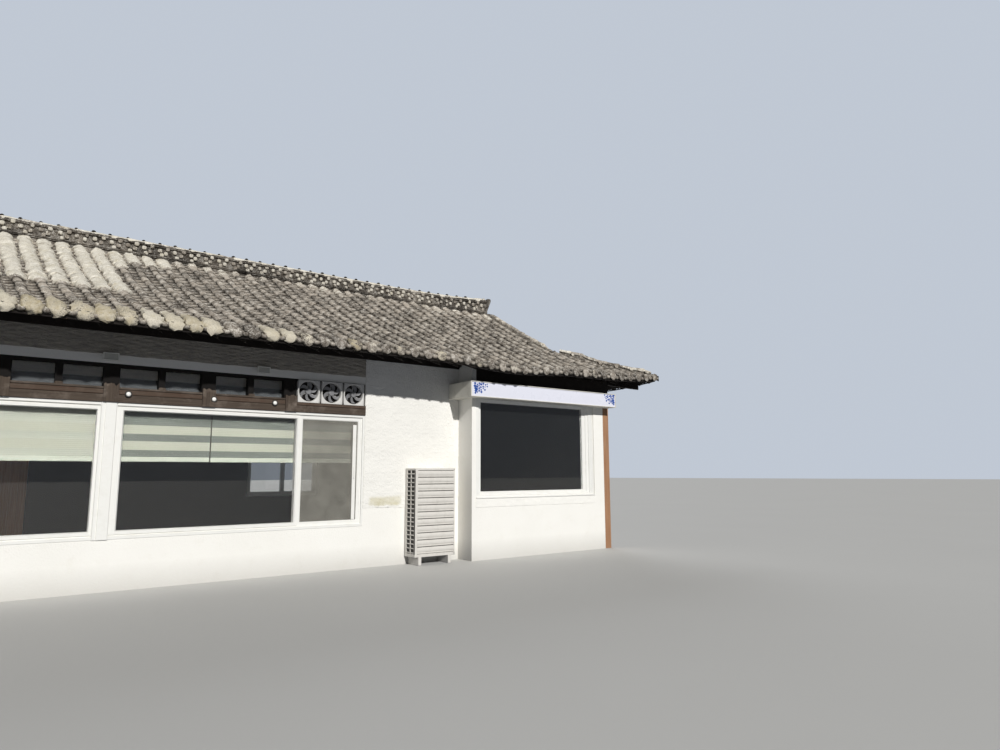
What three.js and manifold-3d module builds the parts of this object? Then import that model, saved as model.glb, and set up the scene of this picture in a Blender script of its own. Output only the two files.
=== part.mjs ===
// A single-storey village house with white plastered walls and a hip-and-gable tiled roof.
// Millimetres, +Z up. The long front looks along -Y, and the origin is on the ground under
// the middle of the ridge.

import * as THREE from 'three';
import { mergeVertices } from 'three/addons/utils/BufferGeometryUtils.js';
import Module from 'manifold-3d';

const wasm = await Module();
wasm.setup();

// Running gap between two pieces that touch
const GAP = 0.3;

// Walls and posts
const HALF_LENGTH = 7350;
const HALF_DEPTH = 2645;
const WALL = 160;
const FLOOR_TOP = 180;
const WALL_TOP = 3900;

// The two wide front windows on either side of the clad column, and where the panes beside the
// column begin
const COLUMN = [-1625, -1445];
const NEAR_PANES = [-1667, -1353];
const WINDOW_WIDTH = 3560;
const SILL = 650;
const HEAD = 2410;
const BEAM_TOP = 2560;
const TRANSOM_TOP = 2920;
const FRAME = 55;
const SASH = 50;
const VENT_WIDTH = 1017;
const MULLION = 48;
const WINDOW_PROUD = 8;
const COLUMN_PROUD = 25;
const BEAM_PROUD = 30;
const WINDOW_DEPTH = 110;
const GLASS_LAP = 20;
const SASH_RECESS = 30;
const SCREEN_BACK = 40;
const SCREEN_THICK = 6;

// Blinds behind a wide window: cloths under one rail, measured from the column, from the head
// and from the back of the frame. They lap over the member beside the column.
const BLIND_BOTTOM = 1640;
const BLIND_SPLIT = [1222, 1238];
const BLIND_RAIL = { lap: 30, inset: 60, top: 15, bottom: 80, depth: [10, 70] };
const BLIND_CLOTH = { lap: 14, inset: 80, clear: 20, depth: [34, 40] };

// Transom over the windows, by the middles of its thick posts
const TRANSOM_POSTS = [-5045, -3915, -2703, -1530, -315, 870];
const THICK_POST = 190;
const THIN_POST = 80;
const TRANSOM_RAIL = 50;
const TRANSOM_HEAD = 40;
const TRANSOM_RECESS = 10;
const TRANSOM_BACK = 30;

// Extractor fans in the last bay of the transom
const FAN_FIRST = 1146;
const FAN_PITCH = 376;
const FAN_SIZE = 348;
const FAN_DEPTH = 70;
const FAN_BORE = 152;
const FAN_BLADE = 142;
const FAN_HUB = 46;
const FAN_BLADES = 6;
const FAN_PROUD = 5;
const FAN_STRUTS = { count: 3, half: 8, depth: [14, 2] };
const FAN_MOTOR = 26;
const FAN_SHAFT = { radius: 5, bore: 5.6, length: 20 };
const BLADE = { wide: 56, thick: 3, pitch: 0.42, root: 6 };

// Bay that stands forward of the front wall at its right end
const BAY_LEFT = 3950;
const BAY_CHEEK = 90;
const BAY_FORWARD = 420;
const BAY_FRONT = HALF_DEPTH + BAY_FORWARD;
const BAY_PIER = 270;
const BAY_SILL = 1040;
const BAY_HEAD = 2800;
const BAY_BEAM = 3040;
const BAY_FRAME = { left: 140, right: 270, bottom: 120, top: 80, depth: [15, 115], glass: [70, 82] };

// Light box over the bay
const CANOPY = { left: 3730, right: 7290, front: 3350, bottom: 2770, top: 3040 };

// Roof: half sizes of the eaves, the gable's place and the curve of the slope
const EAVE_X = 8220;
const EAVE_Y = 3695;
const GABLE_X = 6680;
const GABLE_INSET = EAVE_X - GABLE_X;
const EAVE_TOP = 3390;
const ROOF_RISE = 1860;
const STEEPNESS = 0.78;
const CORNER_LIFT = 90;
const LIFT_REACH = 1500;
const COVER = 70;
const LONG_COLUMNS = 32;
const SHORT_COLUMNS = 12;
const EAVE_THICKNESS = 150;
const EXTRA_THICKNESS = 100;
const SAG = { depth: 85, x: 4450, width: 950, reach: 1500 };

// Ridges
const RIDGE_HALF = 160;
const RIDGE_TOP = 5480;
const RIDGE_UPTURN = 120;
const RIDGE_CAP_END = 6440;
const RIDGE_END_DROP = 230;
const RIDGE_ROOT = 30;
const RIDGE_PROFILE = [[135, 110], [95, 85], [70, 20]];
const RIDGE_STEPS = 20;
const RIDGE_CURVE = 8;
const VERGE_RIDGE = { width: 190, height: 150 };
const HIP_RIDGE = { width: 230, height: 250 };
const CORNER_SHOULDER = 50;
const CORNER_ROOT = 40;

// Rafters and eave boards
const RAFTER_RADIUS = 55;
const RAFTER_SIDES = 6;
const RAFTER_STEP = 350;
const RAFTER_START = 95;
const UNDER_SLAB = 13;
const EAVE_BOARD = { inward: 120, thick: 45, height: 75 };
const HIP_BEAM = 130;
const HIP_DROP = 62;

// Outdoor unit that stands against the wall
const UNIT = { left: 2880, width: 770, depth: 350, bottom: 130, top: 1560 };
const LOUVRES = { count: 12, border: 40, recess: 16, lip: 0.8 };
const UNIT_FEET = { wide: 60, inset: 70, short: 20 };

// Floodlight: the head's half width, depths and heights from the bracket's foot
const LAMP = { half: 75, depth: [-110, -60], height: [-55, 45] };
const LAMP_ARM = { half: 12, height: [20, 36] };
const LAMP_FOOT = { half: 30, thick: 8, height: 60 };
const LAMPS = { left: -1570, right: 420, height: 3000 };

// Rear wall's window and closed door
const REAR_WINDOW = [1900, 3500];
const REAR_HEIGHT = [1000, 2200];
const REAR_FRAME = { member: 90, middle: 50, depth: [90, -5], glass: 10 };
const REAR_DOOR = [-2950, -2050];
const REAR_DOOR_HEIGHT = 2150;
const REAR_DOOR_DEPTH = [80, 20];

const MATERIALS = {
  plaster: { color: 0xeeece4, roughness: 0.9, metalness: 0 },
  floor: { color: 0x8f8b83, roughness: 0.9, metalness: 0 },
  tile: { color: 0x77726a, roughness: 0.95, metalness: 0 },
  dark_timber: { color: 0x1c1815, roughness: 0.8, metalness: 0 },
  weathered_timber: { color: 0x6b5445, roughness: 0.85, metalness: 0 },
  red_timber: { color: 0x8d5a41, roughness: 0.75, metalness: 0 },
  upvc: { color: 0xf2f1ec, roughness: 0.4, metalness: 0 },
  glass: { color: 0x9fb0b5, roughness: 0.05, metalness: 0 },
  blind: { color: 0xd9d6c6, roughness: 0.9, metalness: 0 },
  screen: { color: 0x5d5b57, roughness: 0.9, metalness: 0 },
  sign: { color: 0xf0eff2, roughness: 0.3, metalness: 0 },
  fan: { color: 0xdcdad4, roughness: 0.5, metalness: 0 },
  rotor: { color: 0x45464a, roughness: 0.5, metalness: 0 },
  unit: { color: 0xd8d8d2, roughness: 0.45, metalness: 0.2 },
  lamp: { color: 0x9a9a94, roughness: 0.5, metalness: 0.3 },
};

const house = new THREE.Group();
const finishes = {};
for (const [name, look] of Object.entries(MATERIALS)) {
  finishes[name] = new THREE.MeshStandardMaterial(look);
}

// Adds a finished geometry as a named piece
function piece(name, finish, geometry, parent = house) {
  const mesh = new THREE.Mesh(geometry, finishes[finish]);
  mesh.name = name;
  parent.add(mesh);
  return mesh;
}

// A box given by its limits along each axis
function block([x0, x1], [y0, y1], [z0, z1]) {
  const geometry = new THREE.BoxGeometry(x1 - x0, y1 - y0, z1 - z0);
  return geometry.translate((x0 + x1) / 2, (y0 + y1) / 2, (z0 + z1) / 2);
}

function toSolid(geometry) {
  const bare = geometry.clone();
  bare.deleteAttribute('normal');
  bare.deleteAttribute('uv');
  const merged = mergeVertices(bare, 1e-4);
  return new wasm.Manifold(new wasm.Mesh({
    numProp: 3,
    vertProperties: new Float32Array(merged.attributes.position.array),
    triVerts: new Uint32Array(merged.index.array),
  }));
}

function toGeometry(solid) {
  const mesh = solid.getMesh();
  const geometry = new THREE.BufferGeometry();
  geometry.setAttribute('position', new THREE.BufferAttribute(mesh.vertProperties, 3));
  geometry.setIndex(new THREE.BufferAttribute(mesh.triVerts, 1));
  geometry.computeVertexNormals();
  return geometry;
}

function joined(geometries) {
  const solid = geometries.map(toSolid).reduce((whole, next) => whole.add(next));
  return toGeometry(solid);
}

function cutBy(geometry, tools) {
  const solid = tools.map(toSolid).reduce((whole, tool) => whole.subtract(tool), toSolid(geometry));
  return toGeometry(solid);
}

// What stays in one piece after a cut; crumbs at its ends are dropped
function largestBody(geometry) {
  const bodies = toSolid(geometry).decompose();
  bodies.sort((a, b) => b.volume() - a.volume());
  return toGeometry(bodies[0]);
}

// A closed body from rings of points, with flat ends; its faces are turned outwards
function loft(rings) {
  const count = rings[0].length;
  const points = rings.flat(2);
  const faces = [];
  for (let r = 0; r + 1 < rings.length; r += 1) {
    for (let i = 0; i < count; i += 1) {
      const a = r * count + i;
      const b = r * count + (i + 1) % count;
      faces.push(a, b, b + count, a, b + count, a + count);
    }
  }
  const last = (rings.length - 1) * count;
  for (let i = 1; i + 1 < count; i += 1) {
    faces.push(0, i + 1, i, last, last + i, last + i + 1);
  }
  return outward(points, faces);
}

// A curved plate between two surfaces over the same grid
function plate(columns, rows, upper, lower) {
  const width = columns + 1;
  const layer = width * (rows + 1);
  const points = [];
  for (const surface of [upper, lower]) {
    for (let r = 0; r <= rows; r += 1) {
      for (let c = 0; c <= columns; c += 1) points.push(...surface(c, r));
    }
  }
  const faces = [];
  const quad = (a, b, c, d) => faces.push(a, b, c, a, c, d);
  for (let r = 0; r < rows; r += 1) {
    for (let c = 0; c < columns; c += 1) {
      const a = r * width + c;
      quad(a, a + 1, a + width + 1, a + width);
      quad(layer + a, layer + a + width, layer + a + width + 1, layer + a + 1);
    }
  }
  for (let c = 0; c < columns; c += 1) {
    const far = rows * width + c;
    quad(c, layer + c, layer + c + 1, c + 1);
    quad(far, far + 1, layer + far + 1, layer + far);
  }
  for (let r = 0; r < rows; r += 1) {
    const near = r * width;
    const far = near + columns;
    quad(near, near + width, layer + near + width, layer + near);
    quad(far, layer + far, layer + far + width, far + width);
  }
  return outward(points, faces);
}

// Makes the geometry, and turns its faces over if its volume comes out negative
function outward(points, faces) {
  const corner = (i) => new THREE.Vector3().fromArray(points, faces[i] * 3);
  let volume = 0;
  for (let i = 0; i < faces.length; i += 3) {
    volume += corner(i).dot(corner(i + 1).cross(corner(i + 2)));
  }
  if (volume < 0) faces.reverse();
  const geometry = new THREE.BufferGeometry();
  geometry.setAttribute('position', new THREE.Float32BufferAttribute(points, 3));
  geometry.setIndex(faces);
  geometry.computeVertexNormals();
  return geometry;
}

// Height of the cover tiles at a place on the roof, a given way in from the nearest eave
function coverTop(x, y, inward) {
  const s = inward / EAVE_Y;
  const slope = EAVE_TOP + ROOF_RISE * (STEEPNESS * s + (1 - STEEPNESS) * s * s);
  const away = Math.hypot(EAVE_X - Math.abs(x), EAVE_Y - Math.abs(y)) / LIFT_REACH;
  const lift = CORNER_LIFT * Math.max(0, 1 - away) ** 2;
  const fade = y < 0 ? Math.max(0, 1 - (EAVE_Y + y) / SAG.reach) : 0;
  return slope + lift - SAG.depth * fade * Math.exp(-(((x - SAG.x) / SAG.width) ** 2));
}

function slabTop(x, y, inward) {
  return coverTop(x, y, inward) - COVER;
}

function slabBottom(x, y, inward) {
  const extra = EXTRA_THICKNESS * Math.min(1, inward / 1000);
  return coverTop(x, y, inward) - EAVE_THICKNESS - extra;
}

// A long slope; side is -1 at the front and 1 at the rear, and margin is its gap at the hips
function longSlope(side, margin) {
  const columns = LONG_COLUMNS;
  const steps = [0, 130, 500, 1000, GABLE_INSET, 2100, 2700, 3200, EAVE_Y - RIDGE_HALF - GAP];
  const surface = (height) => (c, r) => {
    const inward = steps[r];
    const reach = EAVE_X - margin - Math.min(inward, GABLE_INSET);
    const x = reach * (2 * c / columns - 1);
    const y = side * (EAVE_Y - inward);
    return [x, y, height(x, y, inward)];
  };
  return plate(columns, steps.length - 1, surface(slabTop), surface(slabBottom));
}

// A short slope under a gable; side is -1 at the left and 1 at the right
function shortSlope(side, margin) {
  const columns = SHORT_COLUMNS;
  const steps = [0, 130, 500, 1000, GABLE_INSET - margin];
  const surface = (height) => (c, r) => {
    const inward = steps[r];
    const reach = EAVE_Y - inward - margin;
    const x = side * (EAVE_X - inward);
    const y = reach * (2 * c / columns - 1);
    return [x, y, height(x, y, inward)];
  };
  return plate(columns, steps.length - 1, surface(slabTop), surface(slabBottom));
}

// The wall that closes a gable, under the two long slopes
function gableWall(side) {
  const outline = new THREE.Shape();
  const half = EAVE_Y - GABLE_INSET;
  const top = (y) => slabBottom(GABLE_X, y, EAVE_Y - Math.abs(y)) - GAP;
  const base = slabBottom(GABLE_X, half, GABLE_INSET) - 5;
  outline.moveTo(-half, base - 160);
  outline.lineTo(half, base - 160);
  for (const inward of [GABLE_INSET, 2100, 2700, 3200, EAVE_Y - RIDGE_HALF - GAP]) {
    outline.lineTo(EAVE_Y - inward, top(EAVE_Y - inward));
  }
  for (const inward of [EAVE_Y - RIDGE_HALF - GAP, 3200, 2700, 2100, GABLE_INSET]) {
    outline.lineTo(inward - EAVE_Y, top(inward - EAVE_Y));
  }
  const geometry = new THREE.ExtrudeGeometry(outline, { depth: WALL / 2, bevelEnabled: false });
  geometry.rotateX(Math.PI / 2).rotateZ(Math.PI / 2);
  const start = side > 0 ? GABLE_X - WALL / 2 - GAP : GAP - GABLE_X;
  return geometry.translate(start, 0, 0);
}

// The main ridge: a low wall of tiles with a round cap, turned up at both ends
function mainRidge() {
  const bottom = slabBottom(0, 0, EAVE_Y - RIDGE_HALF) + RIDGE_ROOT;
  const places = [-GABLE_X];
  for (let i = 0; i <= RIDGE_STEPS; i += 1) places.push(RIDGE_CAP_END * (2 * i / RIDGE_STEPS - 1));
  places.push(GABLE_X);
  return loft(places.map((x) => {
    const share = Math.abs(x) / RIDGE_CAP_END;
    const low = share > 1 ? RIDGE_END_DROP : 0;
    const top = RIDGE_TOP + RIDGE_UPTURN * Math.min(1, share) ** RIDGE_CURVE - low;
    const rear = RIDGE_PROFILE.map(([half, down]) => [x, half, top - down]);
    const front = RIDGE_PROFILE.map(([half, down]) => [x, -half, top - down]).reverse();
    return [[x, -RIDGE_HALF, bottom], [x, RIDGE_HALF, bottom], ...rear, [x, 0, top], ...front];
  }));
}

// The ridge down a gable's verge and on along the hip to the eave's corner
function cornerRidge(sideX, sideY, slopes) {
  const run = [];
  for (const inward of [EAVE_Y - RIDGE_HALF - 2 * GAP, 3200, 2700, 2100, GABLE_INSET]) {
    run.push({ inward, x: GABLE_X - VERGE_RIDGE.width / 2, form: VERGE_RIDGE, turn: 0 });
  }
  for (const inward of [GABLE_INSET - 120, 1000, 500, 130]) {
    run.push({ inward, x: EAVE_X - inward, form: HIP_RIDGE, turn: Math.PI / 4 });
  }
  const rings = run.map(({ inward, x, form, turn }) => {
    const y = EAVE_Y - inward;
    const base = slabTop(x, y, inward);
    const half = form.width / 2;
    const shoulder = form.height - CORNER_SHOULDER;
    const across = [[-half, -CORNER_ROOT], [half, -CORNER_ROOT], [half, shoulder],
      [half / 2, form.height], [-half / 2, form.height], [-half, shoulder]];
    return across.map(([aside, up]) => [
      sideX * (x + aside * Math.cos(turn)),
      sideY * (y - aside * Math.sin(turn)),
      base + up,
    ]);
  });
  const lifted = slopes.map((slope) => slope.clone().translate(0, 0, GAP));
  return largestBody(cutBy(loft(rings), lifted));
}

// The board along an eave that ties the rafter ends; place maps (along, inward) to x, y
function eaveBoard(place, columns) {
  const { inward, thick, height } = EAVE_BOARD;
  const rings = [];
  for (let i = 0; i <= columns; i += 1) {
    const along = 2 * i / columns - 1;
    const edge = (depth, drop) => {
      const [x, y] = place(along, depth);
      return [x, y, slabBottom(x, y, depth) - drop];
    };
    rings.push([
      edge(inward, height),
      edge(inward + thick, height),
      edge(inward + thick, UNDER_SLAB / 2),
      edge(inward, UNDER_SLAB / 2),
    ]);
  }
  return loft(rings);
}

// One round rafter under a slope, with upright ends; place maps inward to x, y
function rafter(place, start, end, across) {
  const rings = [start, end].map((inward) => {
    const [x, y] = place(inward);
    const middle = slabBottom(x, y, inward) - RAFTER_RADIUS - UNDER_SLAB;
    return Array.from({ length: RAFTER_SIDES }, (_, i) => {
      const angle = ((2 * i + 1) * Math.PI) / RAFTER_SIDES;
      const aside = RAFTER_RADIUS * Math.cos(angle);
      return [x + aside * across[0], y + aside * across[1], middle + RAFTER_RADIUS * Math.sin(angle)];
    });
  });
  return loft(rings);
}

// The square beam under a hip, from the wall's corner to the eave's corner; a grown one, taller
// by HIP_DROP, is the room that the long sides' rafters leave for it
function hipBeam(sideX, sideY, grow) {
  const half = (HIP_BEAM / 2 + grow) * Math.SQRT1_2;
  const rings = [EAVE_BOARD.inward + 20, EAVE_Y - HALF_DEPTH + HIP_BEAM / 2].map((inward) => {
    const x = EAVE_X - inward;
    const y = EAVE_Y - inward;
    const top = slabBottom(x, y, inward) - (grow ? 0 : HIP_DROP);
    const low = slabBottom(x, y, inward) - HIP_DROP - HIP_BEAM - 40 - grow;
    return [[half, -half, top], [-half, half, top], [-half, half, low], [half, -half, low]].map(
      ([dx, dy, z]) => [sideX * (x + dx), sideY * (y + dy), z],
    );
  });
  return loft(rings);
}

const MIRRORS = [[-1, -1], [1, -1], [-1, 1], [1, 1]];

function inBay(x, side) {
  return side < 0 && x > BAY_LEFT - RAFTER_RADIUS;
}

// The rafters and the eave board of a long side
function longRafters(side) {
  const place = (along, inward) => [along * (EAVE_X - inward - GAP), side * (EAVE_Y - inward)];
  const parts = [eaveBoard(place, LONG_COLUMNS)];
  const count = Math.floor((EAVE_X - 480) / RAFTER_STEP);
  for (let i = -count; i <= count; i += 1) {
    const x = i * RAFTER_STEP;
    const wall = EAVE_Y - (inBay(x, side) ? BAY_FRONT : HALF_DEPTH) - GAP;
    const end = Math.min(wall, EAVE_X - Math.abs(x));
    parts.push(rafter((inward) => [x, side * (EAVE_Y - inward)], RAFTER_START, end, [1, 0]));
  }
  const beams = MIRRORS.filter(([, sideY]) => sideY === side).map(([a, b]) => hipBeam(a, b, GAP));
  return largestBody(cutBy(joined(parts), beams));
}

// The rafters and the eave board of a short side, with its two hip beams
function shortRafters(side, core) {
  const place = (along, inward) => [side * (EAVE_X - inward), along * (EAVE_Y - inward - GAP)];
  const parts = [eaveBoard(place, SHORT_COLUMNS)];
  const count = Math.floor((EAVE_Y - 480) / RAFTER_STEP);
  for (let i = -count; i <= count; i += 1) {
    const y = i * RAFTER_STEP;
    const end = Math.min(EAVE_X - HALF_LENGTH - GAP, EAVE_Y - Math.abs(y));
    parts.push(rafter((inward) => [side * (EAVE_X - inward), y], RAFTER_START, end, [0, 1]));
  }
  for (const [sideX, sideY] of MIRRORS) {
    if (sideX === side) parts.push(cutBy(hipBeam(sideX, sideY, 0), core));
  }
  return largestBody(joined(parts));
}

// A frame of flat members round panes, which are given as [x0, x1, z0, z1]
function windowFrame([x0, x1], [z0, z1], [y0, y1], panes) {
  const holes = panes.map(([a, b, low, high]) => block([a, b], [y0 - 1, y1 + 1], [low, high]));
  return cutBy(block([x0, x1], [y0, y1], [z0, z1]), holes);
}

// One wide window with a fixed pane and a screened sash; side is 1 where the screen is right, and
// pane is where the fixed pane begins
function wideWindow(label, side, near, pane) {
  const span = (a, b) => (side > 0 ? [near + a, near + b] : [near - b, near - a]);
  const front = -HALF_DEPTH - WINDOW_PROUD;
  const back = front + WINDOW_DEPTH;
  const height = [SILL + GAP, HEAD - GAP];
  const vent0 = WINDOW_WIDTH - VENT_WIDTH - FRAME;
  const vent1 = WINDOW_WIDTH - FRAME;
  const member = Math.abs(pane - near);
  const wide = FRAME + SASH;
  const fixed = [...span(member, vent0 - MULLION), SILL + wide, HEAD - wide];
  const opening = [...span(vent0, vent1), SILL + FRAME, HEAD - FRAME];
  piece(`${label}_window_frame`, 'upvc',
    windowFrame(span(GAP, WINDOW_WIDTH - GAP), height, [front, back], [fixed, opening]));
  const sashX = span(vent0 + GAP, vent1 - GAP);
  const sashZ = [opening[2] + GAP, opening[3] - GAP];
  const light = [sashX[0] + SASH, sashX[1] - SASH, sashZ[0] + SASH, sashZ[1] - SASH];
  const sashFront = front + SASH_RECESS;
  piece(`${label}_vent_sash`, 'upvc', windowFrame(sashX, sashZ, [sashFront, back], [light]));
  piece(`${label}_insect_screen`, 'screen', block([light[0] + GAP, light[1] - GAP],
    [front + SCREEN_BACK, front + SCREEN_BACK + SCREEN_THICK], [light[2] + GAP, light[3] - GAP]));
  piece(`${label}_window_glass`, 'glass', block(span(member - GLASS_LAP, vent1 - GLASS_LAP),
    [back + GAP, back + BLIND_RAIL.depth[0]], [SILL + FRAME + GLASS_LAP, HEAD - FRAME - GLASS_LAP]));
  const railY = [back + BLIND_RAIL.depth[0] + GAP, back + BLIND_RAIL.depth[1]];
  const railZ = [HEAD - BLIND_RAIL.bottom, HEAD - BLIND_RAIL.top];
  const clothY = BLIND_CLOTH.depth.map((depth) => back + depth);
  const cloth = (from, to) => block(span(from, to), clothY, [BLIND_BOTTOM, railZ[0] + 5]);
  piece(`${label}_blinds`, 'blind', joined([
    block(span(member - BLIND_RAIL.lap, WINDOW_WIDTH - BLIND_RAIL.inset), railY, railZ),
    cloth(member - BLIND_CLOTH.lap, BLIND_SPLIT[0]),
    cloth(BLIND_SPLIT[1], vent0 - MULLION + BLIND_CLOTH.clear),
    cloth(vent0 + BLIND_CLOTH.clear, WINDOW_WIDTH - BLIND_CLOTH.inset),
  ]));
}

// Extractor fan: a square plate with a round duct, three struts and the motor with its shaft
function fanHousing() {
  const half = FAN_SIZE / 2;
  const ring = new THREE.CylinderGeometry(FAN_BORE, FAN_BORE, FAN_DEPTH + 4, 32);
  const face = block([-half, half], [-FAN_DEPTH / 2, FAN_DEPTH / 2], [-half, half]);
  const parts = [cutBy(face, [ring])];
  const back = FAN_DEPTH / 2;
  const { count, half: strutHalf, depth } = FAN_STRUTS;
  for (let i = 0; i < count; i += 1) {
    const strut = block([-strutHalf, strutHalf], [back - depth[0], back - depth[1]], [0, FAN_BORE + 6]);
    parts.push(strut.rotateY((i * 2 * Math.PI) / count));
  }
  const motor = new THREE.CylinderGeometry(FAN_HUB, FAN_HUB, FAN_MOTOR, 16);
  parts.push(motor.translate(0, back - FAN_MOTOR / 2 - 2, 0));
  const { radius, length } = FAN_SHAFT;
  const shaft = new THREE.CylinderGeometry(radius, radius, length, 12);
  parts.push(shaft.translate(0, -2, 0));
  return joined(parts);
}

// The fan's rotor: a hub with a blind bore for the shaft, and pitched blades
function fanRotor() {
  const parts = [new THREE.CylinderGeometry(FAN_HUB, FAN_HUB, 24, 20)];
  const length = FAN_BLADE - FAN_HUB + BLADE.root;
  for (let i = 0; i < FAN_BLADES; i += 1) {
    const blade = new THREE.BoxGeometry(BLADE.wide, BLADE.thick, length);
    blade.rotateZ(BLADE.pitch).translate(0, 0, FAN_BLADE - length / 2);
    parts.push(blade.rotateY((i * 2 * Math.PI) / FAN_BLADES));
  }
  const bore = new THREE.CylinderGeometry(FAN_SHAFT.bore, FAN_SHAFT.bore, FAN_SHAFT.length, 24);
  return cutBy(joined(parts), [bore.translate(0, 6, 0)]);
}

// The outdoor unit: a casing with sloped louvres down its front, on two feet
function outdoorUnit() {
  const { left, width, depth, bottom, top } = UNIT;
  const { count, border, recess, lip } = LOUVRES;
  const outline = new THREE.Shape();
  const step = (top - bottom - 2 * border) / count;
  outline.moveTo(0, bottom);
  outline.lineTo(-depth, bottom);
  for (let i = 0; i < count; i += 1) {
    const low = bottom + border + i * step;
    outline.lineTo(-depth, low);
    outline.lineTo(recess - depth, low + step * lip);
    outline.lineTo(recess - depth, low + step - 1);
  }
  outline.lineTo(-depth, top - border);
  outline.lineTo(-depth, top);
  outline.lineTo(0, top);
  const casing = new THREE.ExtrudeGeometry(outline, { depth: width, bevelEnabled: false });
  casing.rotateX(Math.PI / 2).rotateZ(Math.PI / 2).translate(left, -HALF_DEPTH - GAP, 0);
  const { wide, inset, short } = UNIT_FEET;
  const foot = (x) => block([x, x + wide], [-HALF_DEPTH - depth, -HALF_DEPTH - short], [0, bottom + 5]);
  return joined([casing, foot(left + inset), foot(left + width - inset - wide)]);
}

// A small floodlight: a box head on a thin wall bracket
function floodlight() {
  return joined([
    block([-LAMP.half, LAMP.half], LAMP.depth, LAMP.height),
    block([-LAMP_ARM.half, LAMP_ARM.half], [LAMP.depth[1] - 2, 0], LAMP_ARM.height),
    block([-LAMP_FOOT.half, LAMP_FOOT.half], [-LAMP_FOOT.thick, 0], [0, LAMP_FOOT.height]),
  ]);
}

// The roof
function fourSlopes(margin) {
  return [longSlope(-1, margin), longSlope(1, margin), shortSlope(-1, margin), shortSlope(1, margin)];
}
fourSlopes(GAP).forEach((slope, i) => {
  piece(['front_roof', 'rear_roof', 'left_roof', 'right_roof'][i], 'tile', slope);
});

// The same slopes run into each other, for cutting what meets them at a hip
const slopes = fourSlopes(-GAP);
piece('main_ridge', 'tile', mainRidge());
const cornerNames = ['front_left', 'front_right', 'rear_left', 'rear_right'];
MIRRORS.forEach(([sideX, sideY], i) => {
  piece(`${cornerNames[i]}_hip_ridge`, 'tile', cornerRidge(sideX, sideY, slopes));
});
for (const [label, side] of [['left', -1], ['right', 1]]) {
  piece(`${label}_gable_wall`, 'plaster', gableWall(side));
}

// Rafters stop at the walls
const reachX = HALF_LENGTH + GAP;
const reachY = HALF_DEPTH + GAP;
const core = [
  block([-reachX, reachX], [-reachY, reachY], [2000, 4600]),
  block([BAY_LEFT - GAP, reachX], [-BAY_FRONT - GAP, 0], [2000, 4600]),
];
piece('front_rafters', 'dark_timber', longRafters(-1));
piece('rear_rafters', 'dark_timber', longRafters(1));
piece('left_rafters', 'dark_timber', shortRafters(-1, core));
piece('right_rafters', 'dark_timber', shortRafters(1, core));

// Walls reach up to the underside of the roof
const ceiling = slopes.map((slope) => slope.clone().translate(0, 0, -GAP));
const aboveRoof = ceiling.map((slope) => slope.clone().translate(0, 0, 200));
function underRoof(geometry) {
  return largestBody(cutBy(geometry, [...ceiling, ...aboveRoof]));
}
function wall(name, finish, x, y, z0 = 0) {
  piece(name, finish, underRoof(block(x, y, [z0, WALL_TOP])));
}
const FACE = [-HALF_DEPTH, WALL - HALF_DEPTH];
const REAR_FACE = [HALF_DEPTH - WALL, HALF_DEPTH];
const WINDOWS = [COLUMN[0] - WINDOW_WIDTH, COLUMN[1] + WINDOW_WIDTH];
const INNER = HALF_LENGTH - WALL - GAP;
const SIDE_REAR = HALF_DEPTH - WALL - GAP;
wall('front_left_wall', 'plaster', [-INNER, WINDOWS[0] - GAP], FACE);
wall('front_upper_wall', 'plaster', WINDOWS, FACE, TRANSOM_TOP + GAP);
wall('left_wall', 'plaster', [-HALF_LENGTH, WALL - HALF_LENGTH], [WALL + GAP - HALF_DEPTH, SIDE_REAR]);
wall('right_wall', 'plaster', [HALF_LENGTH - WALL, HALF_LENGTH], [WALL + GAP - BAY_FRONT, SIDE_REAR]);
piece('front_sill_wall', 'plaster', block(WINDOWS, FACE, [0, SILL]));

// The right part of the front turns forward as the bay's cheek
const cheekX = [BAY_LEFT, BAY_LEFT + BAY_CHEEK];
piece('front_right_wall', 'plaster', underRoof(joined([
  block([WINDOWS[1] + GAP, cheekX[1]], FACE, [0, WALL_TOP]),
  block(cheekX, [-BAY_FRONT, -HALF_DEPTH], [0, WALL_TOP]),
])));
const bayLeft = cheekX[1] + GAP;
const bayWindow = [bayLeft, INNER - BAY_PIER];
const BAY_FACE = [-BAY_FRONT, WALL - BAY_FRONT - GAP];
wall('bay_beam', 'dark_timber', [bayLeft, INNER], BAY_FACE, BAY_BEAM + GAP);
piece('bay_sill_wall', 'plaster', block(bayWindow, BAY_FACE, [0, BAY_SILL]));
piece('bay_front_wall', 'plaster', joined([
  block([bayWindow[1] + GAP, INNER], BAY_FACE, [0, BAY_BEAM]),
  block([bayWindow[0], bayWindow[1] + 1], BAY_FACE, [BAY_HEAD + GAP, BAY_BEAM]),
]));

// Corner posts
const postX = [HALF_LENGTH - WALL, HALF_LENGTH];
const mirrorX = ([a, b]) => [-b, -a];
wall('front_left_post', 'red_timber', mirrorX(postX), FACE);
wall('front_right_post', 'red_timber', postX, [-BAY_FRONT, WALL - BAY_FRONT]);
wall('rear_left_post', 'red_timber', mirrorX(postX), REAR_FACE);
wall('rear_right_post', 'red_timber', postX, REAR_FACE);

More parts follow.
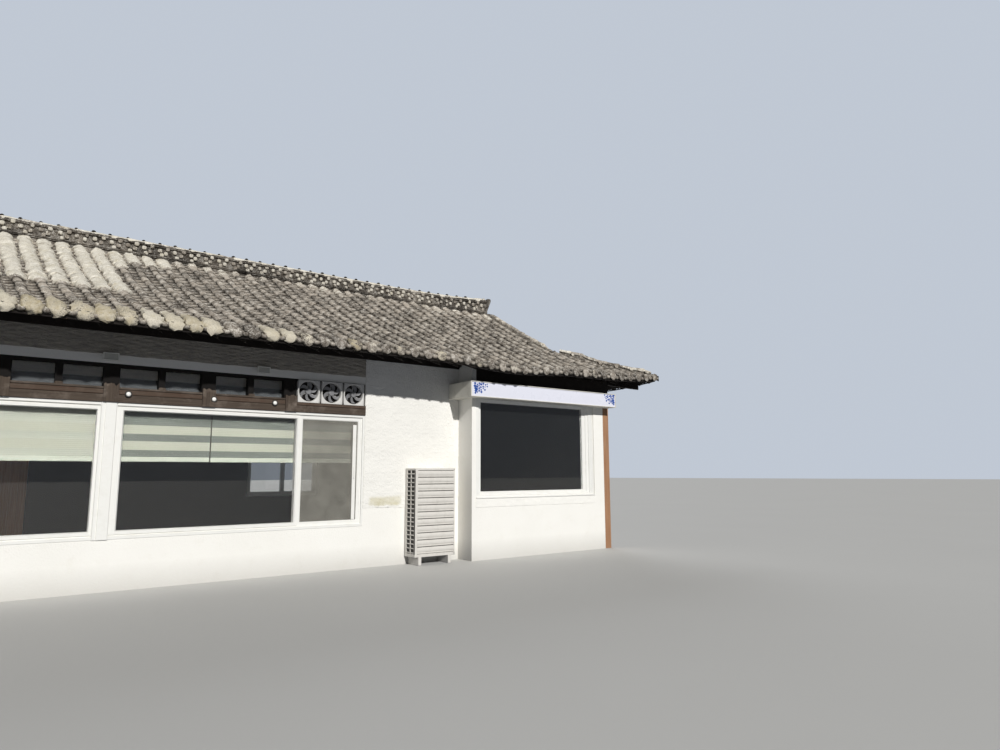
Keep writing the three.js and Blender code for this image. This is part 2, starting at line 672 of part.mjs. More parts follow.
// Rear wall with a window and a closed door
const through = [HALF_DEPTH - WALL - 5, HALF_DEPTH + 5];
piece('rear_wall', 'plaster', underRoof(cutBy(block([-INNER, INNER], REAR_FACE, [0, WALL_TOP]), [
  block(REAR_WINDOW, through, REAR_HEIGHT),
  block(REAR_DOOR, through, [-5, REAR_DOOR_HEIGHT]),
])));
const rearMiddle = (REAR_WINDOW[0] + REAR_WINDOW[1]) / 2;
const { member, middle: rearMullion } = REAR_FRAME;
const rearPane = (x0, x1) => [x0, x1, REAR_HEIGHT[0] + member, REAR_HEIGHT[1] - member];
const rearY = REAR_FRAME.depth.map((depth) => HALF_DEPTH - depth);
piece('rear_window_frame', 'upvc', windowFrame([REAR_WINDOW[0] + GAP, REAR_WINDOW[1] - GAP],
  [REAR_HEIGHT[0] + GAP, REAR_HEIGHT[1] - GAP], rearY, [
    rearPane(REAR_WINDOW[0] + member, rearMiddle - rearMullion),
    rearPane(rearMiddle + rearMullion, REAR_WINDOW[1] - member),
  ]));
piece('rear_window_glass', 'glass', block([REAR_WINDOW[0] + GLASS_LAP, REAR_WINDOW[1] - GLASS_LAP],
  [rearY[0] - REAR_FRAME.glass, rearY[0] - GAP],
  [REAR_HEIGHT[0] + GLASS_LAP, REAR_HEIGHT[1] - GLASS_LAP]));
piece('rear_door', 'red_timber', block([REAR_DOOR[0] + GAP, REAR_DOOR[1] - GAP],
  REAR_DOOR_DEPTH.map((depth) => HALF_DEPTH - depth), [0, REAR_DOOR_HEIGHT - GAP]));

// Floor, which runs on into the bay
piece('floor_slab', 'floor', joined([
  block([-INNER, INNER], [-SIDE_REAR, SIDE_REAR], [0, FLOOR_TOP]),
  block([bayLeft, INNER], [-BAY_FRONT + WALL, -1000], [0, FLOOR_TOP]),
]));

// Column between the windows, the beam over them and the transom
piece('window_column', 'upvc',
  block(COLUMN, [-HALF_DEPTH - COLUMN_PROUD, WALL - HALF_DEPTH], [SILL + GAP, HEAD - GAP]));
piece('transom_beam', 'weathered_timber',
  block(WINDOWS, [-HALF_DEPTH - BEAM_PROUD, WALL - HALF_DEPTH], [HEAD, BEAM_TOP - GAP]));
const transomBack = WALL - HALF_DEPTH - TRANSOM_BACK;
const fanBack = FAN_DEPTH / 2 - FAN_PROUD - HALF_DEPTH + GAP;
function transomFrame() {
  const right = TRANSOM_POSTS[TRANSOM_POSTS.length - 1] + THICK_POST / 2;
  const paneZ = [BEAM_TOP + TRANSOM_RAIL, TRANSOM_TOP - TRANSOM_HEAD];
  const holes = [];
  for (let i = 0; i + 1 < TRANSOM_POSTS.length; i += 1) {
    const x0 = TRANSOM_POSTS[i] + THICK_POST / 2;
    const x1 = TRANSOM_POSTS[i + 1] - THICK_POST / 2;
    const middle = (x0 + x1) / 2;
    for (const span of [[x0, middle - THIN_POST / 2], [middle + THIN_POST / 2, x1]]) {
      holes.push(block(span, [-HALF_DEPTH - 50, 0], paneZ));
    }
  }
  const band = block([WINDOWS[0] + GAP, right], [-HALF_DEPTH + TRANSOM_RECESS, transomBack],
    [BEAM_TOP, TRANSOM_TOP]);
  const fanBoard = block([right - 1, WINDOWS[1] - GAP], [fanBack, fanBack + 20],
    [BEAM_TOP, TRANSOM_TOP]);
  return joined([cutBy(band, holes), fanBoard]);
}
piece('transom_frame', 'dark_timber', transomFrame());
piece('transom_glass', 'glass', block([TRANSOM_POSTS[0], TRANSOM_POSTS[5]],
  [transomBack + GAP, transomBack + 8], [BEAM_TOP + GLASS_LAP, TRANSOM_TOP - GLASS_LAP]));

wideWindow('right', 1, COLUMN[1], NEAR_PANES[1]);
wideWindow('left', -1, COLUMN[0], NEAR_PANES[0]);

// Fans in front of the transom's blind bay
const fanZ = BEAM_TOP + FAN_SIZE / 2;
for (let i = 0; i < 3; i += 1) {
  const fan = new THREE.Group();
  fan.position.set(FAN_FIRST + i * FAN_PITCH, -HALF_DEPTH - FAN_PROUD, fanZ);
  piece(`fan_${i + 1}_housing`, 'fan', fanHousing(), fan);
  const rotor = piece(`fan_${i + 1}_rotor`, 'rotor', fanRotor(), fan);
  rotor.position.y = -10;
  house.add(fan);
}

// Bay window
const bayGlassX = [bayWindow[0] + BAY_FRAME.left, bayWindow[1] - BAY_FRAME.right];
const bayGlassZ = [BAY_SILL + BAY_FRAME.bottom, BAY_HEAD - BAY_FRAME.top];
piece('bay_frame', 'upvc', cutBy(
  block([bayWindow[0] + GAP, bayWindow[1] - GAP],
    BAY_FRAME.depth.map((depth) => depth - BAY_FRONT), [BAY_SILL + GAP, BAY_HEAD - GAP]),
  [block(bayGlassX, [-BAY_FRONT, -BAY_FRONT + 200], bayGlassZ)],
));
piece('bay_glass', 'glass', block([bayGlassX[0] + GAP, bayGlassX[1] - GAP],
  BAY_FRAME.glass.map((depth) => depth - BAY_FRONT), [bayGlassZ[0] + GAP, bayGlassZ[1] - GAP]));

// Light box
piece('sign_box', 'sign', joined([
  block([CANOPY.left, CANOPY.right], [-CANOPY.front, -BAY_FRONT - GAP], [CANOPY.bottom, CANOPY.top]),
  block([CANOPY.left, BAY_LEFT - GAP], [-CANOPY.front, -HALF_DEPTH - GAP],
    [CANOPY.bottom, CANOPY.top]),
]));

// Fittings on the wall
for (const label of ['left', 'right']) {
  const lamp = piece(`${label}_floodlight`, 'lamp', floodlight());
  lamp.position.set(LAMPS[label], -HALF_DEPTH - GAP, LAMPS.height);
}
piece('outdoor_unit', 'unit', outdoorUnit());

export default house;
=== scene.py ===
"""A single-storey village house under a hip-and-gable roof of clay tiles, dressed round its frame.

Metres, +Z up. The long front looks along -Y, and the origin is on the ground under the middle of
the ridge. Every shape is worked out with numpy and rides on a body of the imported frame.
"""

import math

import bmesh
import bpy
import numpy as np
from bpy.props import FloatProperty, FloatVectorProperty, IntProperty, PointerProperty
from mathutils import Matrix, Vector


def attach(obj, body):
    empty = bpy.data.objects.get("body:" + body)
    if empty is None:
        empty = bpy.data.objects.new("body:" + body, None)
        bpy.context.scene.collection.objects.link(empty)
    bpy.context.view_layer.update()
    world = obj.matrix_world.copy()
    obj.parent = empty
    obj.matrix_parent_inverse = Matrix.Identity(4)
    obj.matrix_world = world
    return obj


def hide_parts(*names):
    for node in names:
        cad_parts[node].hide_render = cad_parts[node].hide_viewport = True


bl_info = {
    "name": "Hanok House",
    "version": (1, 0, 0),
    "blender": (4, 5, 0),
    "location": "3D View > Sidebar > Hanok House",
    "description": "Dresses a village house with clay tiles, plaster, timber, windows and fittings",
    "category": "Add Mesh",
}

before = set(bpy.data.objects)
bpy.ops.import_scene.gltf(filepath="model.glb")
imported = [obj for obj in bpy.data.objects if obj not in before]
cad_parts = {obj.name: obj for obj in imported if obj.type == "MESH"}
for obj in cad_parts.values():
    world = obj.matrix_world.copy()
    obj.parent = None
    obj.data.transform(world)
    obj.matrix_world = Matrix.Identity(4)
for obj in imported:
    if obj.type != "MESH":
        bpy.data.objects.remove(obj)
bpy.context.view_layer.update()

# The roof's form, the same as the frame's
EAVE_X = 8.22
EAVE_Y = 3.695
GABLE_X = 6.68
GABLE_INSET = EAVE_X - GABLE_X
EAVE_TOP = 3.39
ROOF_RISE = 1.86
STEEPNESS = 0.78
CORNER_LIFT = 0.09
RAFTER_STEP = 0.35
RAFTER_START = 0.36
RAFTER_RADIUS = 0.05
RAFTER_DROP = 0.062
LIFT_REACH = 1.5
SAG = {"depth": 0.085, "x": 4.45, "width": 0.95, "reach": 1.5}
WALL_PLATE = (3.33, 3.56)
SLAB_EDGE = 0.15
SLAB_EXTRA = 0.10
RIDGE_FOOT = 5.14
RIDGE_TOP = 5.48
RIDGE_UPTURN = 0.12
RIDGE_CAP_END = 6.44
VERGE_X = 6.585

# The front's planes and levels, the same as the frame's
WALL_FACE = -2.645
END_WALL = 7.35
BAY_FACE = -3.065
SILL = 0.65
HEAD = 2.41
COLUMN = (-1.625, -1.445)
WINDOW_WIDTH = 3.560
FRAME_FACE = -2.653
FRAME_BACK = -2.543
VENT = (2.4883, 3.5047)
VENT_LEVELS = (0.7053, 2.3547)
VENT_MEMBER = 0.050
TRANSOM_POSTS = np.array([-5.045, -3.915, -2.703, -1.530, -0.315, 0.870])
THICK_POST = 0.19
CLOTH_FOOT = 1.700
CLOTH_DROP = 0.632
CLOTH_TOP = CLOTH_FOOT + CLOTH_DROP
CLOTH_Y = -2.507
CLOTH_THICK = 0.0012
FAN_X = (1.146, 1.522, 1.898)
FAN_Z = 2.734
FAN_Y = -2.650
FAN_HALF = 0.1735
FAN_DUCT = 0.1525
ROTOR_HUB = 0.041
ROTOR_TIP = 0.1415
BAY_WINDOW = (4.0406, 6.9194, 1.0403, 2.7997)
REAR_WINDOW = (1.9003, 3.4997, 1.0003, 2.1997)
REAR_DOOR = (-2.9497, -2.0503)
LIGHT_BOX = (3.75, 7.27, 2.776, 3.034)
LIGHT_BOX_BACK = -3.0665
LIGHT_FACE = -3.336
UNIT_BOX = (2.88, 3.65, -2.994, -2.660, 0.13, 1.559)
FLOODLIGHT_X = {"left": -1.57, "right": 0.42}
BEAM_LIGHT_X = (-1.33, -0.25, 0.62)
RAIL_BACK = -2.630
RAIL_FOOT = 2.512
RAIL_TOP = 2.576

# Tiles: where the pans' lips start, in from the eave's edge, how high a cover tile's middle stands
# over its sides, the points round one, and how many drawn chances the pans share, a prime number
PAN_EDGE = 0.018
COVER_HEIGHT = 0.047
COVER_ROUND = 14
CHANCES = 997

# The camera, solved from where the photograph's level and upright lines meet
CAMERA_PLACE = (-2.92, -12.80, 1.47)
CAMERA_FORWARD = (0.60350, 0.78457, 0.14228)
CAMERA_UP = (-0.08414, -0.11478, 0.98982)
CAMERA_LENS = 24.66

# Sides: which slope runs along X, and which way it faces
LONG = {"front": True, "rear": True, "left": False, "right": False}
SIDE = {"front": -1, "rear": 1, "left": -1, "right": 1}


def linear(code):
    """An sRGB hex colour as linear RGBA, by the standard curve of each channel."""
    channels = np.array([int(code[i : i + 2], 16) for i in (0, 2, 4)]) / 255
    curve = np.where(channels <= 0.04045, channels / 12.92, ((channels + 0.055) / 1.055) ** 2.4)
    return (*[float(c) for c in curve], 1.0)


def size_property(label, description, default):
    """A length that a user may change."""
    return FloatProperty(
        name=label, description=description, default=default, min=0.0005, precision=4, unit="LENGTH"
    )


def colour_property(label, description, code):
    """A colour that a user may change, given as sRGB hex."""
    return FloatVectorProperty(
        name=label,
        description=description,
        default=linear(code),
        size=4,
        min=0,
        max=1,
        subtype="COLOR",
    )


class HANOK_sizes(bpy.types.PropertyGroup):
    """Sizes and counts that a user may change"""

    row_pitch: size_property("Row pitch", "Distance between rows of cover tiles", 0.2463)
    first_row: FloatProperty(
        name="First row", description="Place of one row along the front", default=-2.489, unit="LENGTH"
    )
    cover_radius: size_property("Cover radius", "Half width of a cover tile's lower end", 0.057)
    cover_step: size_property("Cover step", "Length of a cover tile that shows", 0.215)
    pan_step: size_property("Pan step", "Length of a pan tile that shows", 0.14)
    pan_depth: size_property("Pan depth", "Depth of a pan under the covers' tops", 0.073)
    cap_pitch: size_property("Cap pitch", "Length of a ridge cap tile that shows", 0.2505)
    louvre_count: IntProperty(
        name="Louvres", description="Number of louvres on the outdoor unit", default=12, min=4, max=30
    )


class HANOK_colours(bpy.types.PropertyGroup):
    """Colours that a user may change"""

    clay: colour_property("Clay", "Weathered clay of the tiles", "B7AC9E")
    dark_clay: colour_property("Dark clay", "Clay tiles blackened by age", "544C44")
    lichen: colour_property("Lichen", "Pale lichen on the tiles", "E6E2D9")
    mortar: colour_property("Mortar", "Lime mortar smeared on the tiles", "F6F1E5")
    plaster: colour_property("Plaster", "White lime plaster of the walls", "F4F2EC")
    rough_plaster: colour_property("Rough plaster", "Bare plaster over the windows", "B4AC9F")
    # Near-black: partly a dark stain, partly painted shade of the eaves' underside
    dark_timber: colour_property("Dark timber", "Dark stained pine", "110D0B")
    weathered_timber: colour_property("Weathered timber", "Bare weathered pine", "54493F")
    red_timber: colour_property("Red timber", "Red-brown stained pine", "AD8565")
    upvc: colour_property("Window white", "White of the window frames", "EDECE7")
    blind: colour_property("Blind", "Cream bands of the blinds", "8B8B7E")
    sheer: colour_property("Sheer", "Sheer bands of the blinds", "50544E")
    sign: colour_property("Light box", "Face of the light box", "E3E4EF")
    ornament: colour_property("Ornament", "Blue of the light box's corners", "1E4C9C")


def sizes():
    """The sizes as the user has set them."""
    return bpy.context.scene.hanok_sizes


def colour(name):
    """A colour that the user may change by its property's name, or any other by its sRGB hex code."""
    palette = bpy.context.scene.hanok_colours
    return tuple(getattr(palette, name)) if hasattr(palette, name) else linear(name)


# Shapes


def ripple(points, size, seed):
    """Smooth noise at points, mostly between -1 and 1: a sum of sine waves about size long, whose
    directions, lengths and phases are seeded."""
    rng = np.random.default_rng(seed)
    ways = rng.normal(size=(14, 3))
    ways /= np.linalg.norm(ways, axis=1, keepdims=True)
    waves = 2 * np.pi / (size * rng.uniform(0.6, 1.7, 14))
    phases = rng.uniform(0, 2 * np.pi, 14)
    return np.sin(points @ (ways * waves[:, None]).T + phases).sum(-1) / 4.2


def triangle_volumes(points, faces):
    """Six times the signed volume of each body, from its faces cut into fans; points are
    (bodies, points, 3)."""
    total = np.zeros(len(points))
    start = points[:, :1]
    for group in faces:
        corners = points[:, group] - start[:, :, None]
        for j in range(1, group.shape[1] - 1):
            cross = np.cross(corners[:, :, j], corners[:, :, j + 1])
            total += (corners[:, :, 0] * cross).sum((1, 2))
    return total


def tubes(rings, ends="flat", **values):
    """Closed bodies from rings of points, (bodies, rings, round, 3): quads join each ring to the next.
    ends is "flat" for one face over each end, "strip" for a plate whose rings run out along its
    top and back along its underside, or "none" where the last ring joins the first. A body that
    comes out inside out has its rings turned round. values are arrays over the same points."""
    rings = np.array(rings, float)
    if rings.ndim == 3:
        rings = rings[None]
    bodies, count, around = rings.shape[:3]
    values = {k: np.array(np.broadcast_to(v, rings.shape[:3]), float) for k, v in values.items()}
    index = np.arange(count * around).reshape(count, around)
    ahead = np.roll(index, -1, axis=0)
    if ends != "none":
        index, ahead = index[:-1], ahead[:-1]
    quads = np.stack([index, np.roll(index, -1, 1), np.roll(ahead, -1, 1), ahead], -1).reshape(-1, 4)
    faces = [quads]
    last = (count - 1) * around
    if ends == "flat":
        faces.append(np.array([np.arange(around)[::-1], last + np.arange(around)]))
    if ends == "strip":
        i = np.arange(around // 2 - 1)
        near = np.stack([i, around - 1 - i, around - 2 - i, i + 1], -1)
        faces.append(np.concatenate([near, last + near[:, ::-1]]))
    flat = rings.reshape(bodies, -1, 3)
    turned = triangle_volumes(flat, faces) < 0
    rings[turned] = rings[turned][:, :, ::-1]
    for k in values:
        values[k][turned] = values[k][turned][:, :, ::-1]
    shift = (np.arange(bodies) * count * around)[:, None, None]
    whole = [(group[None] + shift).reshape(-1, group.shape[1]) for group in faces]
    return rings.reshape(-1, 3), whole, {k: v.ravel() for k, v in values.items()}


def bars(low, high, bevel=0.003, axis=0):
    """Straight bars between low and high corners, (bars, 3), with every edge cut at 45 degrees: four
    eight-sided rings along the bar's axis, the end ones drawn in by the bevel."""
    low, high = np.atleast_2d(np.asarray(low, float)), np.atleast_2d(np.asarray(high, float))
    low, high = np.broadcast_arrays(low, high)
    across = [i for i in range(3) if i != axis]
    rings = np.zeros((len(low), 4, 8, 3))
    corner = np.array([[0, 1], [1, 0], [1, 0], [0, 1], [0, 1], [1, 0], [1, 0], [0, 1]])
    ends = np.array([[0, 0], [0, 0], [1, 0], [1, 0], [1, 1], [1, 1], [0, 1], [0, 1]])
    for r, (share, along, draw) in enumerate([(0, 0, 1), (0, 1, 0), (1, -1, 0), (1, 0, 1)]):
        place = np.where(share, high[:, axis], low[:, axis]) + along * bevel
        rings[:, r, :, axis] = place[:, None]
        for j, side in enumerate(across):
            inset = bevel * (corner[:, j] + draw * (1 - corner[:, j]))
            start, stop = low[:, side, None] + inset, high[:, side, None] - inset
            rings[:, r, :, side] = np.where(ends[:, j], stop, start)
    return tubes(rings)


def bar_row(left, right, y, z, bevel, axis=0):
    """Bars side by side between arrays of left and right ends, all of one depth and height."""
    low = np.stack([left, np.full(len(left), y[0]), np.full(len(left), z[0])], -1)
    high = np.stack([right, np.full(len(left), y[1]), np.full(len(left), z[1])], -1)
    return bars(low, high, bevel, axis)


def extrusion(outline, axis, start, stop):
    """A flat outline, (points, 2), over the other two axes in order, carried straight along axis."""
    outline = np.asarray(outline, float)
    rings = np.zeros((2, len(outline), 3))
    across = [i for i in range(3) if i != axis]
    rings[:, :, across] = outline
    rings[0, :, axis] = start
    rings[1, :, axis] = stop
    return tubes(rings)


def border(rect, widths, profile):
    """A mitred frame: a profile of (share of the member's width, y) carried round a rectangle
    (x0, x1, z0, z1), whose members are widths (left, right, bottom, top)."""
    x0, x1, z0, z1 = rect
    left, right, bottom, top = widths
    share, y = np.asarray(profile, float).T
    rings = [
        np.stack([x0 + share * left, y, z0 + share * bottom], -1),
        np.stack([x1 - share * right, y, z0 + share * bottom], -1),
        np.stack([x1 - share * right, y, z1 - share * top], -1),
        np.stack([x0 + share * left, y, z1 - share * top], -1),
    ]
    return tubes(np.array(rings), ends="none")


def lathe(profile, centre, axis, sides=24):
    """A profile of (radius, height) turned about an axis through centre: each point goes round a
    circle of its radius. The profile starts and ends on small radii, which flat faces close."""
    radius, height = np.asarray(profile, float).T
    turn = np.linspace(0, 2 * np.pi, sides, endpoint=False)
    across = [i for i in range(3) if i != axis]
    rings = np.zeros((len(radius), sides, 3))
    rings[:, :, across[0]] = radius[:, None] * np.cos(turn)
    rings[:, :, across[1]] = radius[:, None] * np.sin(turn)
    rings[:, :, axis] = height[:, None]
    return tubes(rings + np.asarray(centre))


def sheet_body(x, z, front, thick, **values):
    """A thin closed plate facing the front: x and z are grid lines, front is its face's y over the
    grid (z lines, x lines), and its back lies thick behind."""
    grid_x, grid_z = np.meshgrid(x, z)
    face = np.stack([grid_x, np.broadcast_to(front, grid_x.shape), grid_z], -1)
    back = face + np.array([0, thick, 0])
    return tubes(np.concatenate([face, back[:, ::-1]], 1), ends="strip", **values)


def shifted(part, move):
    """A shape moved by a vector."""
    points, faces, values = part
    return points + np.asarray(move, float), faces, values


def collected(parts):
    """Several shapes as one: their points in a row, and their faces renumbered to match."""
    points, faces, start = [], [], 0
    names = {k for _, _, values in parts for k in values}
    values = {k: [] for k in sorted(names)}
    for body, groups, given in parts:
        points.append(body)
        faces += [group + start for group in groups]
        start += len(body)
        for k in values:
            values[k].append(given.get(k, np.zeros(len(body))))
    return np.concatenate(points), faces, {k: np.concatenate(v) for k, v in values.items()}


def piece(name, parts, material, stands_for=(), body="house", weld=False, crease=38):
    """Puts closed shapes into a mesh object of the house, shades it smooth up to the crease angle, parents
    it to the empty of the body that it rides on, gives it its finish and hides the nodes that it stands
    for."""
    points, faces, values = collected(parts)
    mesh = bpy.data.meshes.new(name)
    mesh.vertices.add(len(points))
    mesh.vertices.foreach_set("co", points.astype(np.float32).ravel())
    corners = np.concatenate([group.ravel() for group in faces])
    counts = np.concatenate([np.full(len(group), group.shape[1]) for group in faces])
    mesh.loops.add(len(corners))
    mesh.loops.foreach_set("vertex_index", corners.astype(np.int32))
    mesh.polygons.add(len(counts))
    mesh.polygons.foreach_set("loop_start", (np.cumsum(counts) - counts).astype(np.int32))
    for key, value in values.items():
        layer = mesh.attributes.new(key, "FLOAT", "POINT")
        layer.data.foreach_set("value", value.astype(np.float32))
    mesh.update(calc_edges=True)
    if weld:
        work = bmesh.new()
        work.from_mesh(mesh)
        bmesh.ops.remove_doubles(work, verts=work.verts, dist=2e-5)
        work.to_mesh(mesh)
        work.free()
    mesh.shade_smooth()
    mesh.set_sharp_from_angle(angle=math.radians(crease))
    mesh.materials.append(material)
    made = bpy.data.objects.new(name, mesh)
    bpy.context.scene.collection.objects.link(made)
    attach(made, body)
    if stands_for:
        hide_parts(*stands_for)
    return made


# Materials


# Nodes by the names used below: kind, settings, the sockets that values fill in order, and the
# output that is passed on, or None for all of them
NODES = {
    "place": ("ShaderNodeTexCoord", {}, (), "Object"),
    "attribute": ("ShaderNodeAttribute", {}, (), "Fac"),
    "split": ("ShaderNodeSeparateXYZ", {}, ("Vector",), None),
    "stretch": ("ShaderNodeMapping", {}, ("Vector", "Scale"), "Vector"),
    "noise": ("ShaderNodeTexNoise", {}, ("Vector", "Scale", "Detail", "Roughness", "Distortion"), "Fac"),
    "weave": ("ShaderNodeTexWave", {"bands_direction": "Z"}, ("Vector", "Scale", "Distortion"), "Fac"),
    "range": ("ShaderNodeMapRange", {}, ("Value", "From Min", "From Max", "To Min", "To Max"), "Result"),
    "mix": ("ShaderNodeMix", {"data_type": "RGBA"}, (0, 6, 7), 2),
    "sum": ("ShaderNodeMath", {"operation": "ADD"}, (0, 1), 0),
    "product": ("ShaderNodeMath", {"operation": "MULTIPLY"}, (0, 1), 0),
    "quotient": ("ShaderNodeMath", {"operation": "DIVIDE"}, (0, 1), 0),
    "larger": ("ShaderNodeMath", {"operation": "MAXIMUM"}, (0, 1), 0),
    "unsigned": ("ShaderNodeMath", {"operation": "ABSOLUTE"}, (0,), 0),
    "fraction": ("ShaderNodeMath", {"operation": "FRACT"}, (0,), 0),
    "bump": ("ShaderNodeBump", {}, ("Height", "Distance"), "Normal"),
    "surface": ("ShaderNodeBsdfPrincipled", {}, ("Base Color", "Roughness", "Normal"), "BSDF"),
    "clear": ("ShaderNodeBsdfTransparent", {}, ("Color",), "BSDF"),
    "either": ("ShaderNodeMixShader", {}, (0, 1, 2), "Shader"),
    "rays": ("ShaderNodeLightPath", {}, (), None),
    "glow": ("ShaderNodeBackground", {}, ("Color", "Strength"), "Background"),
    "output": ("ShaderNodeOutputMaterial", {}, ("Surface",), None),
    "world": ("ShaderNodeOutputWorld", {}, ("Surface",), None),
}


def add(tree, name, *values, sockets=None, **settings):
    """Adds a node of NODES, gives it its settings and fills its sockets with values, in order or by
    their names in sockets. A value that is another node's output is linked. Noise takes its scale
    as 1000 over its spots' size in millimetres, and a bump its depth in metres."""
    kind, fixed, order, passed_on = NODES[name]
    node = tree.nodes.new(kind)
    for key, value in {**fixed, **settings}.items():
        setattr(node, key, value)
    for key, value in {**dict(zip(order, values)), **(sockets or {})}.items():
        socket = node.inputs[key]
        if isinstance(value, bpy.types.NodeSocket):
            tree.links.new(value, socket)
        else:
            socket.default_value = value
    return node.outputs if passed_on is None else node.outputs[passed_on]


def material(name, build):
    """A node material by that name, made once: build adds its nodes and returns its shader."""
    found = bpy.data.materials.get(name)
    if found:
        return found
    made = bpy.data.materials.new(name)
    made.use_nodes = True
    tree = made.node_tree
    tree.nodes.clear()
    add(tree, "output", build(tree))
    return made


def aged_clay(tree):
    """Unglazed grey clay tile, pressed and fired, then left outdoors for decades: dull, each tile in a
    tone of its own, blackened and crusted with lichen in patches and specks. Where lime mortar was smeared
    on it is pale, streaked, and yellowed where the tone is low. One attribute darkens it to near-black:
    soot in its joints, and painted shade in the crevices beside and under the tiles, under the eave's lip
    and on the undersides of the caps. The attributes tone, that darkening, mortar and board say where, and
    board is bare timber."""
    place = add(tree, "place")
    tone = add(tree, "attribute", attribute_name="tone")
    mottle = add(tree, "noise", place, 1000 / 75, 6, 0.72)
    specks = add(tree, "noise", place, 1000 / 16, 5, 0.75)
    region = add(tree, "noise", place, 1000 / 420, 4, 0.6)
    shade = add(
        tree,
        "sum",
        add(tree, "product", tone, 0.65),
        add(tree, "range", mottle, 0.36, 0.64, -0.05, 0.45),
    )
    shade = add(tree, "sum", shade, add(tree, "range", region, 0.38, 0.62, -0.2, 0.2))
    clay = add(tree, "mix", add(tree, "range", shade, 0.15, 0.9), colour("dark_clay"), colour("clay"))
    lichen = add(
        tree,
        "product",
        add(tree, "range", specks, 0.47, 0.6),
        add(tree, "range", mottle, 0.4, 0.6, 0.1, 1.0),
    )
    crust = add(
        tree,
        "product",
        add(tree, "range", mottle, 0.54, 0.62, 0, 0.7),
        add(tree, "range", region, 0.42, 0.58),
    )
    lichen = add(tree, "larger", lichen, crust)
    clay = add(tree, "mix", lichen, clay, colour("lichen"))
    # Near-black over soot in the joints and painted shade in the crevices and undersides
    grime = add(tree, "attribute", attribute_name="grime")
    clay = add(tree, "mix", add(tree, "product", grime, 0.96), clay, linear("1C1814"))
    streak = add(tree, "range", add(tree, "sum", mottle, add(tree, "product", specks, 0.5)), 0.55, 0.9)
    lime = add(tree, "mix", streak, linear("CCC5B5"), colour("mortar"))
    lime = add(
        tree,
        "mix",
        add(tree, "range", add(tree, "noise", place, 1000 / 160, 4.0, 0.6), 0.54, 0.7, 0, 0.4),
        lime,
        linear("C9BD9C"),
    )
    yellowed = add(
        tree,
        "product",
        add(tree, "range", tone, 0.1, 0.7, 0.9, 0),
        add(tree, "range", mottle, 0.35, 0.6, 0.3, 1),
    )
    lime = add(tree, "mix", yellowed, lime, linear("AC9E7C"))
    lime = add(tree, "mix", add(tree, "range", specks, 0.38, 0.5, 0.35, 0), lime, linear("8C8272"))
    lime = add(tree, "mix", add(tree, "product", grime, 0.6), lime, linear("4A4238"))
    wear = add(
        tree,
        "sum",
        add(tree, "range", specks, 0.3, 0.7, -0.2, 0.2),
        add(tree, "range", mottle, 0.3, 0.7, -0.2, 0.2),
    )
    patchy = add(tree, "sum", add(tree, "attribute", attribute_name="mortar"), wear)
    finish = add(tree, "mix", add(tree, "range", patchy, 0.42, 0.58), clay, lime)
    finish = add(
        tree, "mix", add(tree, "attribute", attribute_name="board"), finish, colour("dark_timber")
    )
    rough = add(tree, "sum", add(tree, "product", specks, 0.6), add(tree, "product", mottle, 0.6))
    return add(
        tree,
        "surface",
        finish,
        0.95,
        add(tree, "bump", rough, 0.012),
        sockets={"Specular IOR Level": 0.12},
    )


def inside_share(tree, place):
    """1 within the rooms, 0 outside: in from the ends, from the front, which steps forward at the bay,
    and from the rear, up to the gables' feet."""
    split = add(tree, "split", place)
    deep_x = add(tree, "range", add(tree, "unsigned", split["X"]), 7.24, 7.26, 1, 0)
    deep_x = add(tree, "product", deep_x, add(tree, "range", split["Z"], 3.36, 3.38, 1, 0))
    behind = add(tree, "product", add(tree, "range", split["X"], 4.02, 4.03), 0.41)
    front = add(tree, "sum", split["Y"], behind)
    front = add(tree, "range", front, -2.54, -2.53)
    rear = add(tree, "range", split["Y"], 2.53, 2.55, 1, 0)
    return add(tree, "product", deep_x, add(tree, "product", front, rear))


def lime_plaster(tree):
    """White lime plaster, laid by trowel and dabbed with a brush: dull, with a fine stipple and slow waves
    that low light picks out, greyer towards the ground. Inside the rooms it is painted dark, as painted
    shade of the unlit rooms."""
    place = add(tree, "place")
    height = add(tree, "split", place)["Z"]
    slow = add(tree, "noise", place, 1000 / 900, 3, 0.6)
    stain = add(tree, "range", add(tree, "noise", place, 1000 / 240, 6, 0.7), 0.55, 0.8, 0, 0.22)
    base = add(
        tree, "mix", add(tree, "range", slow, 0.35, 0.7, 0, 0.1), colour("plaster"), linear("CFCBBF")
    )
    base = add(tree, "mix", stain, base, linear("D8D2C2"))
    base = add(tree, "mix", add(tree, "range", height, 0.0, 0.35, 0.35, 0), base, linear("8B857A"))
    # Painted shade: dark inside the rooms
    base = add(tree, "mix", inside_share(tree, place), base, linear("38312A"))
    stipple = add(
        tree,
        "sum",
        add(tree, "product", add(tree, "noise", place, 1000 / 22, 4, 0.6), 0.7),
        add(tree, "product", slow, 0.9),
    )
    return add(tree, "surface", base, 0.88, add(tree, "bump", stipple, 0.006))


